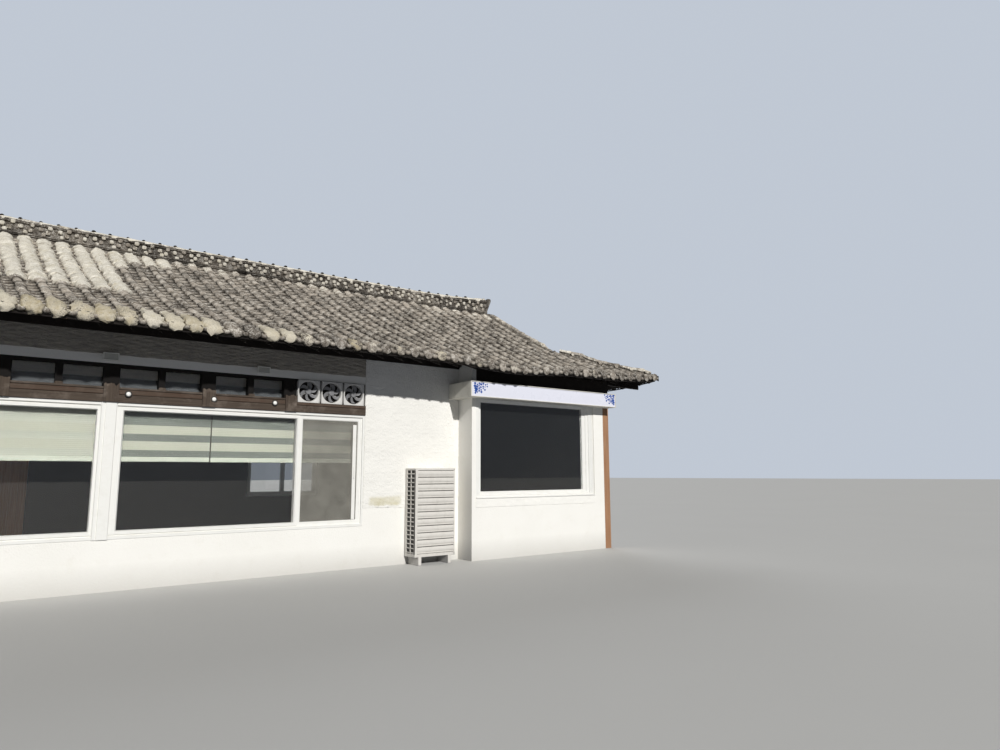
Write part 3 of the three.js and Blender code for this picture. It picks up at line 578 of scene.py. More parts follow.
def stained_plaster(tree):
    """The same lime plaster where water ran down on to its ledge: a yellow-grey tide mark over the
    lower edge, darkest at the right."""
    place = add(tree, "place")
    split = add(tree, "split", place)
    wander = add(tree, "noise", place, 1000 / 130, 6, 0.7)
    shifted_x = add(tree, "sum", split["X"], add(tree, "product", wander, 0.12))
    shifted_z = add(tree, "sum", split["Z"], add(tree, "product", wander, 0.10))
    across = add(
        tree,
        "product",
        add(tree, "range", shifted_x, 2.26, 2.32),
        add(tree, "range", shifted_x, 2.82, 2.88, 1, 0),
    )
    upward = add(
        tree,
        "product",
        add(tree, "range", shifted_z, 1.0, 1.03),
        add(tree, "range", shifted_z, 1.12, 1.17, 1, 0),
    )
    mark = add(tree, "product", across, upward)
    mark = add(tree, "product", mark, add(tree, "range", wander, 0.25, 0.7, 0.35, 0.9))
    slow = add(tree, "noise", place, 1000 / 900, 3, 0.6)
    base = add(
        tree, "mix", add(tree, "range", slow, 0.35, 0.7, 0, 0.1), colour("plaster"), linear("CFCBBF")
    )
    base = add(tree, "mix", mark, base, linear("CFC7A6"))
    stipple = add(
        tree,
        "sum",
        add(tree, "product", add(tree, "noise", place, 1000 / 24, 4, 0.6), 1.0),
        add(tree, "product", slow, 0.9),
    )
    return add(tree, "surface", base, 0.88, add(tree, "bump", stipple, 0.014))


def scratched_plaster(tree):
    """Unpainted lime and sand plaster, raked by hand with a stiff brush: brown-grey, with long shallow
    strokes that run level and curl."""
    place = add(tree, "place")
    turned = add(tree, "stretch", place, (1.0, 1.0, 3.2))
    swirl = add(tree, "noise", turned, 1000 / 110, 5.0, 0.62, 1.6)
    base = add(
        tree, "mix", add(tree, "range", swirl, 0.35, 0.65), linear("98928A"), colour("rough_plaster")
    )
    base = add(
        tree,
        "mix",
        add(tree, "range", add(tree, "noise", place, 1000 / 500, 4.0, 0.6), 0.5, 0.7, 0, 0.3),
        base,
        linear("C6C0B6"),
    )
    return add(tree, "surface", base, 0.92, add(tree, "bump", swirl, 0.02))


def pine(shade, worn, across, fleck, shaded_above=None):
    """Sawn pine, planed and stained or left bare: long fibres along the piece, worn paler on some, with
    fine cracks. across is the pattern's scale per axis, small along the fibres. Over a given height, if
    any, it is painted dark as painted shade of the eave."""

    def build(tree):
        place = add(tree, "place")
        turned = add(tree, "stretch", place, across)
        fibres = add(tree, "noise", turned, 1000 / 14, 5, 0.65)
        patches = add(tree, "noise", place, 1000 / 210, 5, 0.65)
        base = add(tree, "mix", add(tree, "range", fibres, 0.35, 0.68), colour(shade), linear(worn))
        base = add(
            tree, "mix", add(tree, "range", patches, 0.5, 0.72, 0, fleck), base, linear("91857A")
        )
        if shaded_above:
            height = add(tree, "split", place)["Z"]
            eave_shade = add(tree, "range", height, shaded_above, shaded_above + 0.02)
            base = add(tree, "mix", eave_shade, base, colour("dark_timber"))
        return add(
            tree,
            "surface",
            base,
            0.85,
            add(tree, "bump", fibres, 0.004),
            sockets={"Specular IOR Level": 0.3},
        )

    return build


def window_upvc(tree):
    """White uPVC, extruded and welded at the mitres: smooth with a soft gloss, a little chalky and
    dusty outdoors."""
    place = add(tree, "place")
    dust = add(tree, "noise", place, 1000 / 180, 5, 0.7)
    base = add(
        tree, "mix", add(tree, "range", dust, 0.5, 0.78, 0, 0.3), colour("upvc"), linear("CFCBC0")
    )
    return add(
        tree,
        "surface",
        base,
        add(tree, "range", dust, 0.3, 0.7, 0.32, 0.5),
        add(tree, "bump", add(tree, "noise", place, 1000 / 60, 2, 0.6), 0.0006),
        sockets={"IOR": 1.53},
    )


def float_glass(dust_share):
    """Clear float glass, drawn flat: sharp reflections, the room dark behind it, and sunlight through
    it. dust_share is how much a film of dust on it hides."""

    def build(tree):
        place = add(tree, "place")
        streaks = add(tree, "stretch", place, (1.0, 1.0, 6.0))
        film = add(tree, "noise", streaks, 1000 / 420, 4, 0.6)
        gloss = {"IOR": 1.45, "Transmission Weight": 1.0}
        glass = add(tree, "surface", linear("F6F7F7"), 0.01, sockets=gloss)
        lamps = add(tree, "clear", linear("F1F2F2"))
        clear = add(tree, "either", add(tree, "rays")["Is Shadow Ray"], glass, lamps)
        dust = add(tree, "surface", linear("8E9295"), 0.9)
        share = add(tree, "range", film, 0.35, 0.7, dust_share * 0.6, dust_share)
        if dust_share > 0.1:
            height = add(tree, "split", place)["Z"]
            share = add(tree, "sum", share, add(tree, "range", height, 2.62, 2.78, 0.1, 0))
        return add(tree, "either", share, clear, dust)

    return build


def blind_cloth(closed):
    """Banded blind cloth, woven polyester: cream opaque bands and sheer ones that the dark room greys.
    closed is the share that its sheer bands are shut by the layer behind. The weave is drawn at
    4 mm, coarser than its threads, so that it shows."""

    def build(tree):
        down = add(tree, "attribute", attribute_name="down")
        cycle = add(tree, "fraction", add(tree, "quotient", add(tree, "sum", down, 0.018), 0.215))
        band = add(
            tree,
            "product",
            add(tree, "range", cycle, 0.0, 0.03),
            add(tree, "range", cycle, 0.55, 0.58, 1, 0),
        )
        band = add(tree, "product", band, add(tree, "range", down, 0.185, 0.195))
        place = add(tree, "place")
        weave = add(tree, "weave", place, 1000 / 4 / 20, 0.4)
        # The sheer bands are painted grey for the dark room behind them, and painted shade darkens each
        # just under the cream band above it
        sheer = add(tree, "mix", closed, colour("sheer"), linear("95968A"))
        sheer = add(
            tree,
            "mix",
            add(tree, "range", cycle, 0.58, 0.98, 0.3 - 0.2 * closed, 0),
            sheer,
            linear("4E524C"),
        )
        base = add(tree, "mix", band, sheer, colour("blind"))
        return add(
            tree,
            "surface",
            base,
            0.85,
            add(tree, "bump", weave, 0.0008),
            sockets={"Sheen Weight": 0.15},
        )

    return build


def insect_mesh(tree):
    """Glass-fibre insect mesh, woven and coated: holes of about a millimetre, far too fine to show
    here, so it is a thin grey veil with a coarser ripple where it is slack."""
    place = add(tree, "place")
    slack = add(tree, "noise", place, 1000 / 260, 2, 0.6)
    base = add(tree, "mix", add(tree, "range", slack, 0.35, 0.65), linear("A3A096"), linear("8F8C83"))
    return add(tree, "surface", base, 0.8, sockets={"Alpha": 0.36})


def coated(shade, dirt, roughness, spots, wear):
    """Painted sheet metal or moulded plastic, smooth, with dust and grime settled on it in patches
    about spots millimetres wide, which hide up to a share of it, wear."""

    def build(tree):
        place = add(tree, "place")
        settled = add(tree, "noise", place, 1000 / spots, 5, 0.7)
        base = add(
            tree, "mix", add(tree, "range", settled, 0.48, 0.78, 0, wear), colour(shade), linear(dirt)
        )
        return add(
            tree,
            "surface",
            base,
            add(tree, "range", settled, 0.3, 0.7, roughness, roughness + 0.2),
            add(tree, "bump", add(tree, "noise", place, 1000 / 30, 3, 0.6), 0.0008),
        )

    return build


def floor_concrete(tree):
    """Trowelled concrete, dark both as sealed concrete and as painted shade of the unlit rooms: faint
    trowel arcs and pores.
    """
    place = add(tree, "place")
    arcs = add(tree, "noise", place, 1000 / 350, 5, 0.6)
    base = add(tree, "mix", add(tree, "range", arcs, 0.35, 0.65), linear("4C453D"), linear("5E564C"))
    return add(tree, "surface", base, 0.6, add(tree, "bump", arcs, 0.003))


# Scales that stretch a pattern along timber fibres
ALONG_X = (0.03, 1.0, 1.0)
ALONG_Z = (1.0, 1.0, 0.03)


def finishes():
    """Every material of the house by a plain name."""
    return {
        "clay": material("aged_clay_tile", aged_clay),
        "plaster": material("brushed_lime_plaster", lime_plaster),
        "stained": material("stained_lime_plaster", stained_plaster),
        "scratched": material("raked_sand_plaster", scratched_plaster),
        "dark": material("dark_stained_pine", pine("dark_timber", "1E1815", ALONG_X, 0.03)),
        # A near-black copy of the dark pine without wear, as painted shade of the eave on the transom's
        # frame
        "black": material("black_stained_pine", pine("dark_timber", "0A0706", ALONG_X, 0.0)),
        "bare": material("weathered_pine", pine("weathered_timber", "40362F", ALONG_X, 0.35)),
        "bare_upright": material("weathered_pine_posts", pine("weathered_timber", "40362F", ALONG_Z, 0.5)),
        "rail": material("brown_pine_rail", pine("weathered_timber", "4A3529", ALONG_X, 0.15)),
        # Over 3.04 m the posts are painted dark as the eave's shade
        "red": material("red_stained_pine", pine("red_timber", "8F674B", ALONG_Z, 0.15, 3.04)),
        "upvc": material("extruded_white_upvc", window_upvc),
        "glass": material("clear_float_glass", float_glass(0.02)),
        "dusty": material("dusty_float_glass", float_glass(0.16)),
        "blind": material("banded_blind_cloth", blind_cloth(0.05)),
        "closed_blind": material("closed_blind_cloth", blind_cloth(0.85)),
        "blind_bar": material("coated_blind_bar", coated("979A8D", "82857A", 0.5, 60, 0.3)),
        "mesh": material("woven_insect_mesh", insect_mesh),
        "sign": material("light_box_acrylic", coated("sign", "C9C9D2", 0.22, 300, 0.2)),
        "sign_case": material("light_box_casing", coated("D9D6CC", "A09A8C", 0.5, 160, 0.5)),
        "ornament": material("printed_blue_film", coated("ornament", "3A66B0", 0.35, 60, 0.2)),
        "fan": material("moulded_fan_housing", coated("CFCDC9", "A59F95", 0.42, 90, 0.35)),
        "blade": material("moulded_fan_blades", coated("7A7A7C", "67645F", 0.42, 60, 0.4)),
        "lamp": material("grey_lamp_casting", coated("F0EEE6", "A5A197", 0.45, 60, 0.3)),
        # Pale partly as frosted glass and partly as painted light from the sunlit ground below
        "lamp_glass": material("frosted_lamp_glass", coated("BDBBB2", "9A978E", 0.25, 80, 0.3)),
        "lens": material("white_lamp_lens", coated("F6F5F0", "E0DED4", 0.25, 30, 0.2)),
        "dark_plastic": material("dark_moulded_plastic", coated("23211F", "4C4843", 0.5, 40, 0.4)),
        "unit": material("powder_coated_steel", coated("D9D5CE", "A09A8F", 0.4, 120, 0.3)),
        "concrete": material("sealed_concrete", floor_concrete),
    }


def coat_nodes(material_made, names):
    """Gives carried-over nodes of the frame a material; their meshes stay as they are."""
    for name in names:
        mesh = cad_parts[name].data
        mesh.materials.clear()
        mesh.materials.append(material_made)


# Roof


def corner_lift(x, y):
    """How far a place is lifted by the corners: the square of its nearness to one."""
    away = np.hypot(EAVE_X - np.abs(x), EAVE_Y - np.abs(y)) / LIFT_REACH
    return CORNER_LIFT * np.maximum(0, 1 - away) ** 2


def cover_top(x, y, inward):
    """Height of the cover tiles' tops: a line and a square of the way in, lifted at the corners, and
    sunk in a bell-shaped hollow along the front eave."""
    s = inward / EAVE_Y
    slope = EAVE_TOP + ROOF_RISE * (STEEPNESS * s + (1 - STEEPNESS) * s * s)
    fade = np.where(y < 0, np.maximum(0, 1 - (EAVE_Y + y) / SAG["reach"]), 0)
    sunk = SAG["depth"] * fade * np.exp(-(((x - SAG["x"]) / SAG["width"]) ** 2))
    return slope + corner_lift(x, y) - sunk


def slab_bottom(x, y, inward):
    """Height of the roof's underside: the covers' tops less the edge's thickness, which grows in a
    line over the first metre."""
    return cover_top(x, y, inward) - SLAB_EDGE - SLAB_EXTRA * np.minimum(1, inward)


def level_place(slope, along, inward):
    """x and y of a place along a slope's eave and inward from it."""
    if LONG[slope]:
        return along, SIDE[slope] * (EAVE_Y - inward)
    return SIDE[slope] * (EAVE_X - inward), along


def drifted(slope, along, inward):
    """The front's rows lean a little: towards the ridge they drift left, by an amount that fades out
    before the gables."""
    if slope != "front":
        return along
    lean = np.interp(along, [-6.5, -3.5, 4.0, 6.6], [0.0, -0.31, -0.31, 0.0])
    return along + lean * (inward / EAVE_Y) ** 0.74


def on_slope(slope, along, inward, out, square=True):
    """Points of a slope: out is measured from the covers' tops, squarely to the slope, or straight up
    near the eave, where the tiles' ends stand upright."""
    along, inward, out = np.broadcast_arrays(along, inward, out)
    along = drifted(slope, along, inward)
    x, y = level_place(slope, along, inward)
    lean = np.arctan(ROOF_RISE / EAVE_Y * (STEEPNESS + 2 * (1 - STEEPNESS) * inward / EAVE_Y))
    lean = lean * np.clip(inward / 0.25, 0, 1) if square else lean * 0
    z = cover_top(x, y, inward) + out * np.cos(lean)
    x, y = level_place(slope, along, np.maximum(inward - out * np.sin(lean), 0))
    return np.stack([x, y, z], -1)


def row_places(slope):
    """Places of a slope's rows of cover tiles along its eave."""
    pitch = sizes().row_pitch
    if LONG[slope]:
        count = int(2 * EAVE_X / pitch) + 2
        rows = sizes().first_row + pitch * np.arange(-count, count + 1)
        return rows[np.abs(rows) < EAVE_X - 0.09]
    return pitch * np.arange(-14, 15)


def pan_plate(slope, start, stop, top, hip):
    """The curved bed between two places along an eave: its top is rows of hollow pan tiles, each a
    parabola across, deeper at the eave, and a saw tooth up the slope that starts anew in each row.
    Its underside is the roof's. Past a hip the grid is held at the hip's line, and its doubled
    points are welded afterwards. The eave's edge of the front's left pans is limed, and the
    underside is boarded."""
    settings = sizes()
    pitch, step = settings.row_pitch, settings.pan_step
    first = settings.first_row if LONG[slope] else 0.0
    # Grid lines across a row, close together where a pan meets the covers beside it
    shares = np.array([0, 0.21, 0.28, 0.42, 0.58, 0.72, 0.79])
    cells = np.arange(math.floor((start - first) / pitch), math.ceil((stop - first) / pitch) + 1)
    along = (first + pitch * (cells[:, None] + shares)).ravel()
    along = along[(along > start + 0.01) & (along < stop - 0.01)]
    along = np.concatenate([[start], along, [stop]])
    tiles = np.arange(0, math.ceil(top / step) + 1)
    inward = (tiles[:, None] * step + np.array([0.0, 0.72 * step, step - 0.004])).ravel()
    inward = inward[(inward > 0.03) & (inward < top - 0.003)]
    inward = np.unique(np.concatenate([inward, [PAN_EDGE, 0.05, 0.116, 0.2, top]]))
    across, line = np.meshgrid(along, inward)
    cell = (across - first) / pitch
    column, share = np.floor(cell), cell - np.floor(cell)
    drawn = np.random.default_rng(43).random(CHANCES)[((column * 29) % CHANCES).astype(int)]
    depth = np.minimum(line + step * drawn * np.clip((line - 0.05) / 0.1, 0, 1), top)
    if hip:
        half = EAVE_X if LONG[slope] else EAVE_Y
        depth = np.minimum(depth, np.maximum(half - np.abs(across) - 0.001, 0))
    tile = np.floor((line + 0.001) / step)
    tooth = (line - tile * step) / step
    key = (column * 131 + tile * 17 + SIDE[slope] * 7 + LONG[slope] * 3) % CHANCES
    chance = np.random.default_rng(41).random((CHANCES, 3))[key.astype(int)]
    # The top's depth under the covers: the parabola, the saw tooth and each tile's own unevenness
    aside = 2 * np.abs(share - 0.5)
    bent = np.minimum(aside, 0.56) ** 2
    edge = np.clip(1 - depth / 0.16, 0, 1)
    out = -settings.pan_depth + (0.045 + 0.06 * edge) * bent - 0.02 * edge
    out = out + 0.025 * (1 - tooth) + 0.009 * (chance[..., 0] - 0.5)
    upper = on_slope(slope, across, depth, out, square=False)
    # The underside: a thin lip at the eave that goes over to the roof's underside
    lip = np.clip((depth - 0.05) / 0.06, 0, 1)
    under = slab_bottom(upper[..., 0], upper[..., 1], depth)
    low = (1 - lip) * (upper[..., 2] - 0.045) + lip * under
    lower = upper.copy()
    lower[..., 2] = np.minimum(low, upper[..., 2] - 0.02)
    rings = np.concatenate([upper, lower[:, ::-1]], 1)
    tone = 0.1 + 0.8 * chance[..., 1] + 0.25 * (1 - tooth) * (chance[..., 2] > 0.4)
    # Painted shade darkens the crevices beside the covers and the hollow under each tile's lip, where soot
    # also lies
    crevice_shade = np.clip((aside - 0.34) / 0.2, 0, 1)
    grime = np.maximum(crevice_shade, np.clip((tooth - 0.7) / 0.25, 0, 1) * 0.85)
    limed = 0.5 * (depth < 0.15) * (across < -0.35) if slope == "front" else 0 * depth
    # The underside is darkened as painted shade, to near-black under the lip at the eave
    edge = np.where(depth[:, ::-1] < 0.06, 1.0, 0.5)
    board = (depth[:, ::-1] > 0.06).astype(float)
    return tubes(
        rings,
        ends="strip",
        tone=np.concatenate([tone, tone[:, ::-1]], 1),
        grime=np.concatenate([grime, edge], 1),
        mortar=np.concatenate([limed, 0 * limed], 1),
        board=np.concatenate([0 * board, board], 1),
    )


def roof_bed(slope):
    """The pan tiles and their bed over one slope, in three plates where hips cut its ends."""
    half, top = (EAVE_X, EAVE_Y - 0.09) if LONG[slope] else (EAVE_Y, GABLE_INSET - 0.004)
    inner = half - GABLE_INSET
    reach = half - 0.002
    return [
        pan_plate(slope, -inner, inner, top, False),
        pan_plate(slope, inner, reach, GABLE_INSET, True),
        pan_plate(slope, -reach, -inner, GABLE_INSET, True),
    ]


def smear_reach(slope, index, rng):
    """From where up a row its covers are plastered over with mortar, and how thickly: long smears on
    some of the front's rows, and short dabs under the ridge on the others."""
    if slope == "front" and -15 <= index <= 5:
        return 1.26 + 0.22 * rng.random() + 0.24 * max(0, -7 - index), 0.95
    if slope == "front" and index in (6, 7, 8, 9):
        return 3.1 - 0.3 * (index == 6), 0.95
    if LONG[slope]:
        return 3.2 + 0.25 * rng.random(), rng.uniform(0.3, 0.56)
    return EAVE_X, 0.0


def cover_row(slope, along, top, rng, smear, lump, lime):
    """One row of cover tiles from the eave up: half-round rings that widen at each tile's lower end
    and narrow up to the next. At the eave the row ends in a round disc, or in a mound of mortar
    that spreads over the pans and tapers up; lump is the share of the mound. Smears of mortar fill
    the steps higher up. Each ring of an end is its way in from the eave, its half width, its
    height over and depth under its middle, and how far that middle is raised."""
    settings = sizes()
    radius, step = settings.cover_radius, settings.cover_step
    disc = np.array(
        [
            (0.0, 0.062, 0.048, 0.070, -0.004),
            (0.004, 0.077, 0.060, 0.086, 0.002),
            (0.020, 0.080, 0.062, 0.087, 0.003),
            (0.030, 0.070, 0.053, 0.070, 0.001),
            (0.045, 0.058, 0.047, 0.050, 0.0),
            (0.060, 0.056, 0.046, 0.050, 0.0),
            (0.075, 0.055, 0.046, 0.050, 0.0),
        ]
    )
    mound = np.array(
        [
            (0.0, 0.050, 0.018, 0.040, -0.022),
            (0.012, 0.086, 0.034, 0.076, -0.018),
            (0.045, 0.108, 0.046, 0.090, -0.012),
            (0.120, 0.117, 0.056, 0.080, 0.004),
            (0.220, 0.092, 0.056, 0.070, 0.016),
            (0.330, 0.066, 0.050, 0.060, 0.010),
            (0.430, 0.052, 0.044, 0.050, 0.002),
        ]
    )
    end = (1 - lump) * disc + lump * mound
    end[:, 0] *= min(rng.uniform(0.85, 1.12), top * 0.8 / end[-1, 0])
    given = len(end)
    end[:, 1] *= rng.normal(1.0, 0.04 + 0.06 * lump, given)
    fine = np.linspace(0, given - 1, 2 * given - 1)
    end = np.stack([np.interp(fine, np.arange(given), column) for column in end.T], -1)
    rounded = (end[:-2] + 2 * end[1:-1] + end[2:]) / 4
    end[1:-1] += lump * (rounded - end[1:-1])
    many = len(end)
    starts = end[-1, 0] + 0.01 + (np.arange(0, int(top / step) + 1) + rng.random()) * step
    starts = starts + rng.normal(0, 0.012, len(starts))
    starts = starts[starts < top - 0.06]
    # A tile's rings: share of its step, width, and how dark it is, darkest at the joint under the next
    # tile's lip: soot and painted shade
    shape = np.array([(0.0, 1.0, 0.1), (0.045, 1.05, 0.0), (0.5, 0.97, 0.0), (0.94, 0.85, 0.6)])
    inward = (starts[:, None] + step * shape[:, 0]).ravel()
    size = (shape[:, 1] * rng.normal(1, 0.04, (len(starts), 1))).ravel()
    rows = np.stack([inward, radius * size, COVER_HEIGHT * size, 0 * size + 0.045, 0 * size], -1)
    rows[:, 4] = np.repeat(rng.normal(0, 0.004, len(starts)), len(shape))
    aside = np.repeat(rng.normal(0, 0.006, len(starts)), len(shape))
    tone = np.repeat(rng.uniform(0.3, 1.1, len(starts)), len(shape))
    joint = np.tile(shape[:, 2], len(starts))
    keep = inward < top
    rows = np.concatenate([end, rows[keep]])
    aside = np.concatenate([rng.normal(0, 0.010 * lump) + rng.normal(0, 0.004 * lump, many), aside[keep]])
    tone = np.concatenate([np.full(many, 0.5 * rng.random()), tone[keep]])
    joint = np.concatenate([np.zeros(many), joint[keep]])
    mortar = np.concatenate([np.full(many, lime), np.zeros(keep.sum())])
    inward, wide, tall, low, rise = rows.T
    # Where mortar is smeared on, the steps are filled and the row is wider and ragged
    held = inward > smear[0]
    ragged = 1 + rng.normal(0, 0.08, len(inward))
    wide = np.where(held, (0.057 + 0.045 * smear[1]) * ragged, wide)
    tall = np.where(held, 0.046 + 0.024 * smear[1], tall)
    aside = np.where(held, rng.normal(0.006, 0.007, len(inward)), aside)
    mortar = np.where(held, smear[1], mortar)
    tone = np.where(held, 0.6 + 0.3 * tone, tone)
    joint = np.where(held, 0.15 * joint, joint)
    joint[many : many + len(shape)] *= 1 - lump
    turn = np.linspace(0, 2 * np.pi, COVER_ROUND, endpoint=False)
    up = np.sin(turn)
    out = rise[:, None] - COVER_HEIGHT
    out = out + tall[:, None] * np.maximum(up, 0) + low[:, None] * np.minimum(up, 0)
    across = along + aside[:, None] + wide[:, None] * np.cos(turn)
    rings = on_slope(slope, across, inward[:, None], out)
    # Mortar is rougher than clay, a mound most of all, and the tips of the ends are clean
    rough = np.where(mortar > 0.3, 0.010, 0.004)[:, None]
    rough[:9] += 0.006 * lump
    rings[..., 2] += rough * ripple(rings, 0.07, 5)
    rings[..., 0 if LONG[slope] else 1] += rough * ripple(rings, 0.06, 6)
    rings[1:11, :, 2] += 0.008 * lump * ripple(rings[1:11], 0.034, 12)
    # Painted shade darkens each cover's lower sides, more on one side and less under mortar; the end's
    # first rings stay light
    shaded_flank = np.clip(0.66 - 1.1 * up + 0.3 * np.cos(turn), 0, 1) * (1 - 0.75 * mortar[:, None])
    grime = np.clip(shaded_flank + joint[:, None], 0, 1)
    grime[:3] *= 0.3
    return tubes(rings, tone=tone[:, None], mortar=mortar[:, None], grime=grime, board=0.0)


def roof_covers(slope):
    """All rows of one slope, each up to the ridge, the gable or the hip. The front's rows end in
    mounds of mortar at the left, and towards the right more and more in plain discs."""
    half = EAVE_X if LONG[slope] else EAVE_Y
    limit = EAVE_Y - 0.12 if LONG[slope] else GABLE_INSET - 0.01
    flat = half - GABLE_INSET - (0.13 if LONG[slope] else 0.0)
    parts = []
    for along in row_places(slope):
        index = round((along - sizes().first_row) / sizes().row_pitch)
        rng = np.random.default_rng(1100 + 50 * list(LONG).index(slope) + index)
        top = limit if abs(along) < flat else max(half - abs(along) - 0.07, 0.09)
        lump = float(np.interp(along, [-0.5, 0.7, 3.2], [1.0, 0.45, 0.0])) if slope == "front" else 0.25
        lime = rng.uniform(0.1, 0.5) if slope == "front" and along < 3 else rng.uniform(0.05, 0.4)
        if slope == "front" and along < -0.3:
            lime = rng.uniform(0.62, 0.95)
        if slope == "front" and abs(along - 0.4) < 0.2:
            lime = 0.85
        parts.append(cover_row(slope, along, top, rng, smear_reach(slope, index, rng), lump, lime))
    return parts


def batten(slope):
    """The slim batten under the tiles' ends: a rectangle carried along the eave under the bed."""
    half = EAVE_X - 0.056 if LONG[slope] else EAVE_Y - 0.087
    along = np.linspace(-half, half, 90 if LONG[slope] else 40)[:, None]
    x, y = np.broadcast_arrays(*level_place(slope, along, np.array([0.056, 0.086, 0.086, 0.056])))
    under = slab_bottom(x, y, 0.07)
    z = np.where(np.array([False, False, True, True]), under + 0.012, under - 0.006)
    return tubes(np.stack([x, y, z], -1))


def rafters(slope):
    """Round rafters side by side under one slope, from well behind the tiles' ends to the wall, or to
    the hip where it comes first. They don't follow the sunken eave."""
    half = EAVE_X if LONG[slope] else EAVE_Y
    count = int((half - 0.48) / RAFTER_STEP)
    along = RAFTER_STEP * np.arange(-count, count + 1)
    wall = EAVE_Y + WALL_FACE if LONG[slope] else EAVE_X - END_WALL
    stop = np.minimum(wall - 0.01, half - np.abs(along))
    if slope == "front":
        stop = np.where(along > 3.89, np.minimum(EAVE_Y + BAY_FACE - 0.01, stop), stop)
    along, stop = along[stop > 0.5], stop[stop > 0.5]
    inward = RAFTER_START + (stop[:, None] - RAFTER_START) * np.array([0, 0.5, 1])
    turn = np.linspace(0, 2 * np.pi, 10, endpoint=False)
    across = along[:, None, None] + RAFTER_RADIUS * np.cos(turn)
    x, y = np.broadcast_arrays(*level_place(slope, across, inward[..., None]))
    z = slab_bottom(x, np.abs(y), inward[..., None]) - RAFTER_DROP + RAFTER_RADIUS * np.sin(turn)
    return tubes(np.stack([x, y, z], -1))


def wall_plate(slope):
    """The beam along the wall's head that carries the rafters."""
    low, high = WALL_PLATE
    if LONG[slope]:
        stop = 3.948 if slope == "front" else END_WALL - 0.17
        y = sorted(SIDE[slope] * np.array([-WALL_FACE - 0.003, -WALL_FACE + 0.03]))
        return bars([0.17 - END_WALL, y[0], low], [stop, y[1], high], 0.004)
    x = sorted(SIDE[slope] * np.array([END_WALL - 0.003, END_WALL + 0.03]))
    return bars([x[0], WALL_FACE + 0.18, low], [x[1], -WALL_FACE - 0.18, high - 0.04], 0.004, axis=1)


def hip_beams(slope):
    """The square beams under the two hips of a long slope: a rectangle carried along the diagonal."""
    inward = np.linspace(0.30, 1.05, 7)
    parts = []
    for side_x in (-1, 1):
        path = np.stack([side_x * (EAVE_X - inward), SIDE[slope] * (EAVE_Y - inward), 0 * inward], -1)
        path[:, 2] = slab_bottom(path[:, 0], path[:, 1], inward) - RAFTER_DROP
        side = np.tile([math.sqrt(0.5), -side_x * SIDE[slope] * math.sqrt(0.5), 0.0], (len(path), 1))
        parts.append(swept(path, side, [(-0.06, 0), (0.06, 0), (0.06, -0.14), (-0.06, -0.14)]))
    return parts


class HANOK_OT_roof(bpy.types.Operator):
    """Lay the pan tiles, cover tiles and eave mortar on the four slopes, and the timbers under them"""

    bl_idname = "hanok.roof"
    bl_label = "Roof tiles"

    def execute(self, context):
        clay = finishes()["clay"]
        for slope in LONG:
            piece(f"{slope}_pan_tiles", roof_bed(slope), clay, [f"{slope}_roof"], weld=True)
            piece(f"{slope}_cover_tiles", roof_covers(slope), clay, crease=50)
            parts = [batten(slope), rafters(slope), wall_plate(slope)]
            if LONG[slope]:
                parts += hip_beams(slope)
            dark = finishes()["dark"]
            piece(f"{slope}_eave_timbers", parts, dark, [f"{slope}_rafters"])
        return {"FINISHED"}


# Ridges


def ridge_height(x, z):
    """A height of the main ridge's middle, stretched from its foot up as the ridge turns up."""
    top = RIDGE_TOP + RIDGE_UPTURN * np.minimum(1, np.abs(x) / RIDGE_CAP_END) ** 8
    return RIDGE_FOOT + (z - RIDGE_FOOT) * (top - RIDGE_FOOT) / (RIDGE_TOP - RIDGE_FOOT)


def ridge_courses():
    """The ridge's low wall: a stepped outline of flat tile courses carried along the ridge."""
    outline = np.array(
        [
            (0.125, 5.04),
            (0.125, 5.165),
            (0.150, 5.168),
            (0.150, 5.180),
            (0.132, 5.183),
            (0.132, 5.188),
            (0.156, 5.19),
            (0.156, 5.212),
            (0.112, 5.216),
            (0.112, 5.362),
            (0.14, 5.366),
            (0.14, 5.388),
            (0.10, 5.392),
            (0.08, 5.43),
        ]
    )
    y = np.concatenate([outline[:, 0], -outline[::-1, 0]])
    z = np.concatenate([outline[:, 1], outline[::-1, 1]])
    x = np.linspace(-RIDGE_CAP_END, RIDGE_CAP_END, 107)
    rings = np.zeros((len(x), len(y), 3))
    rings[..., 0] = x[:, None]
    rings[..., 1] = y
    rings[..., 2] = ridge_height(x[:, None], z)
    noise = ripple(rings, 0.16, 8)
    rings[:, :, 1] += 0.005 * noise * np.sign(y)
    tone = 0.1 + 0.3 * ripple(rings, 0.5, 9)
    grime = 0.55 + 0.25 * ripple(rings, 0.25, 10)
    return tubes(rings, tone=tone, grime=np.clip(grime, 0, 1), mortar=0.0, board=0.0)


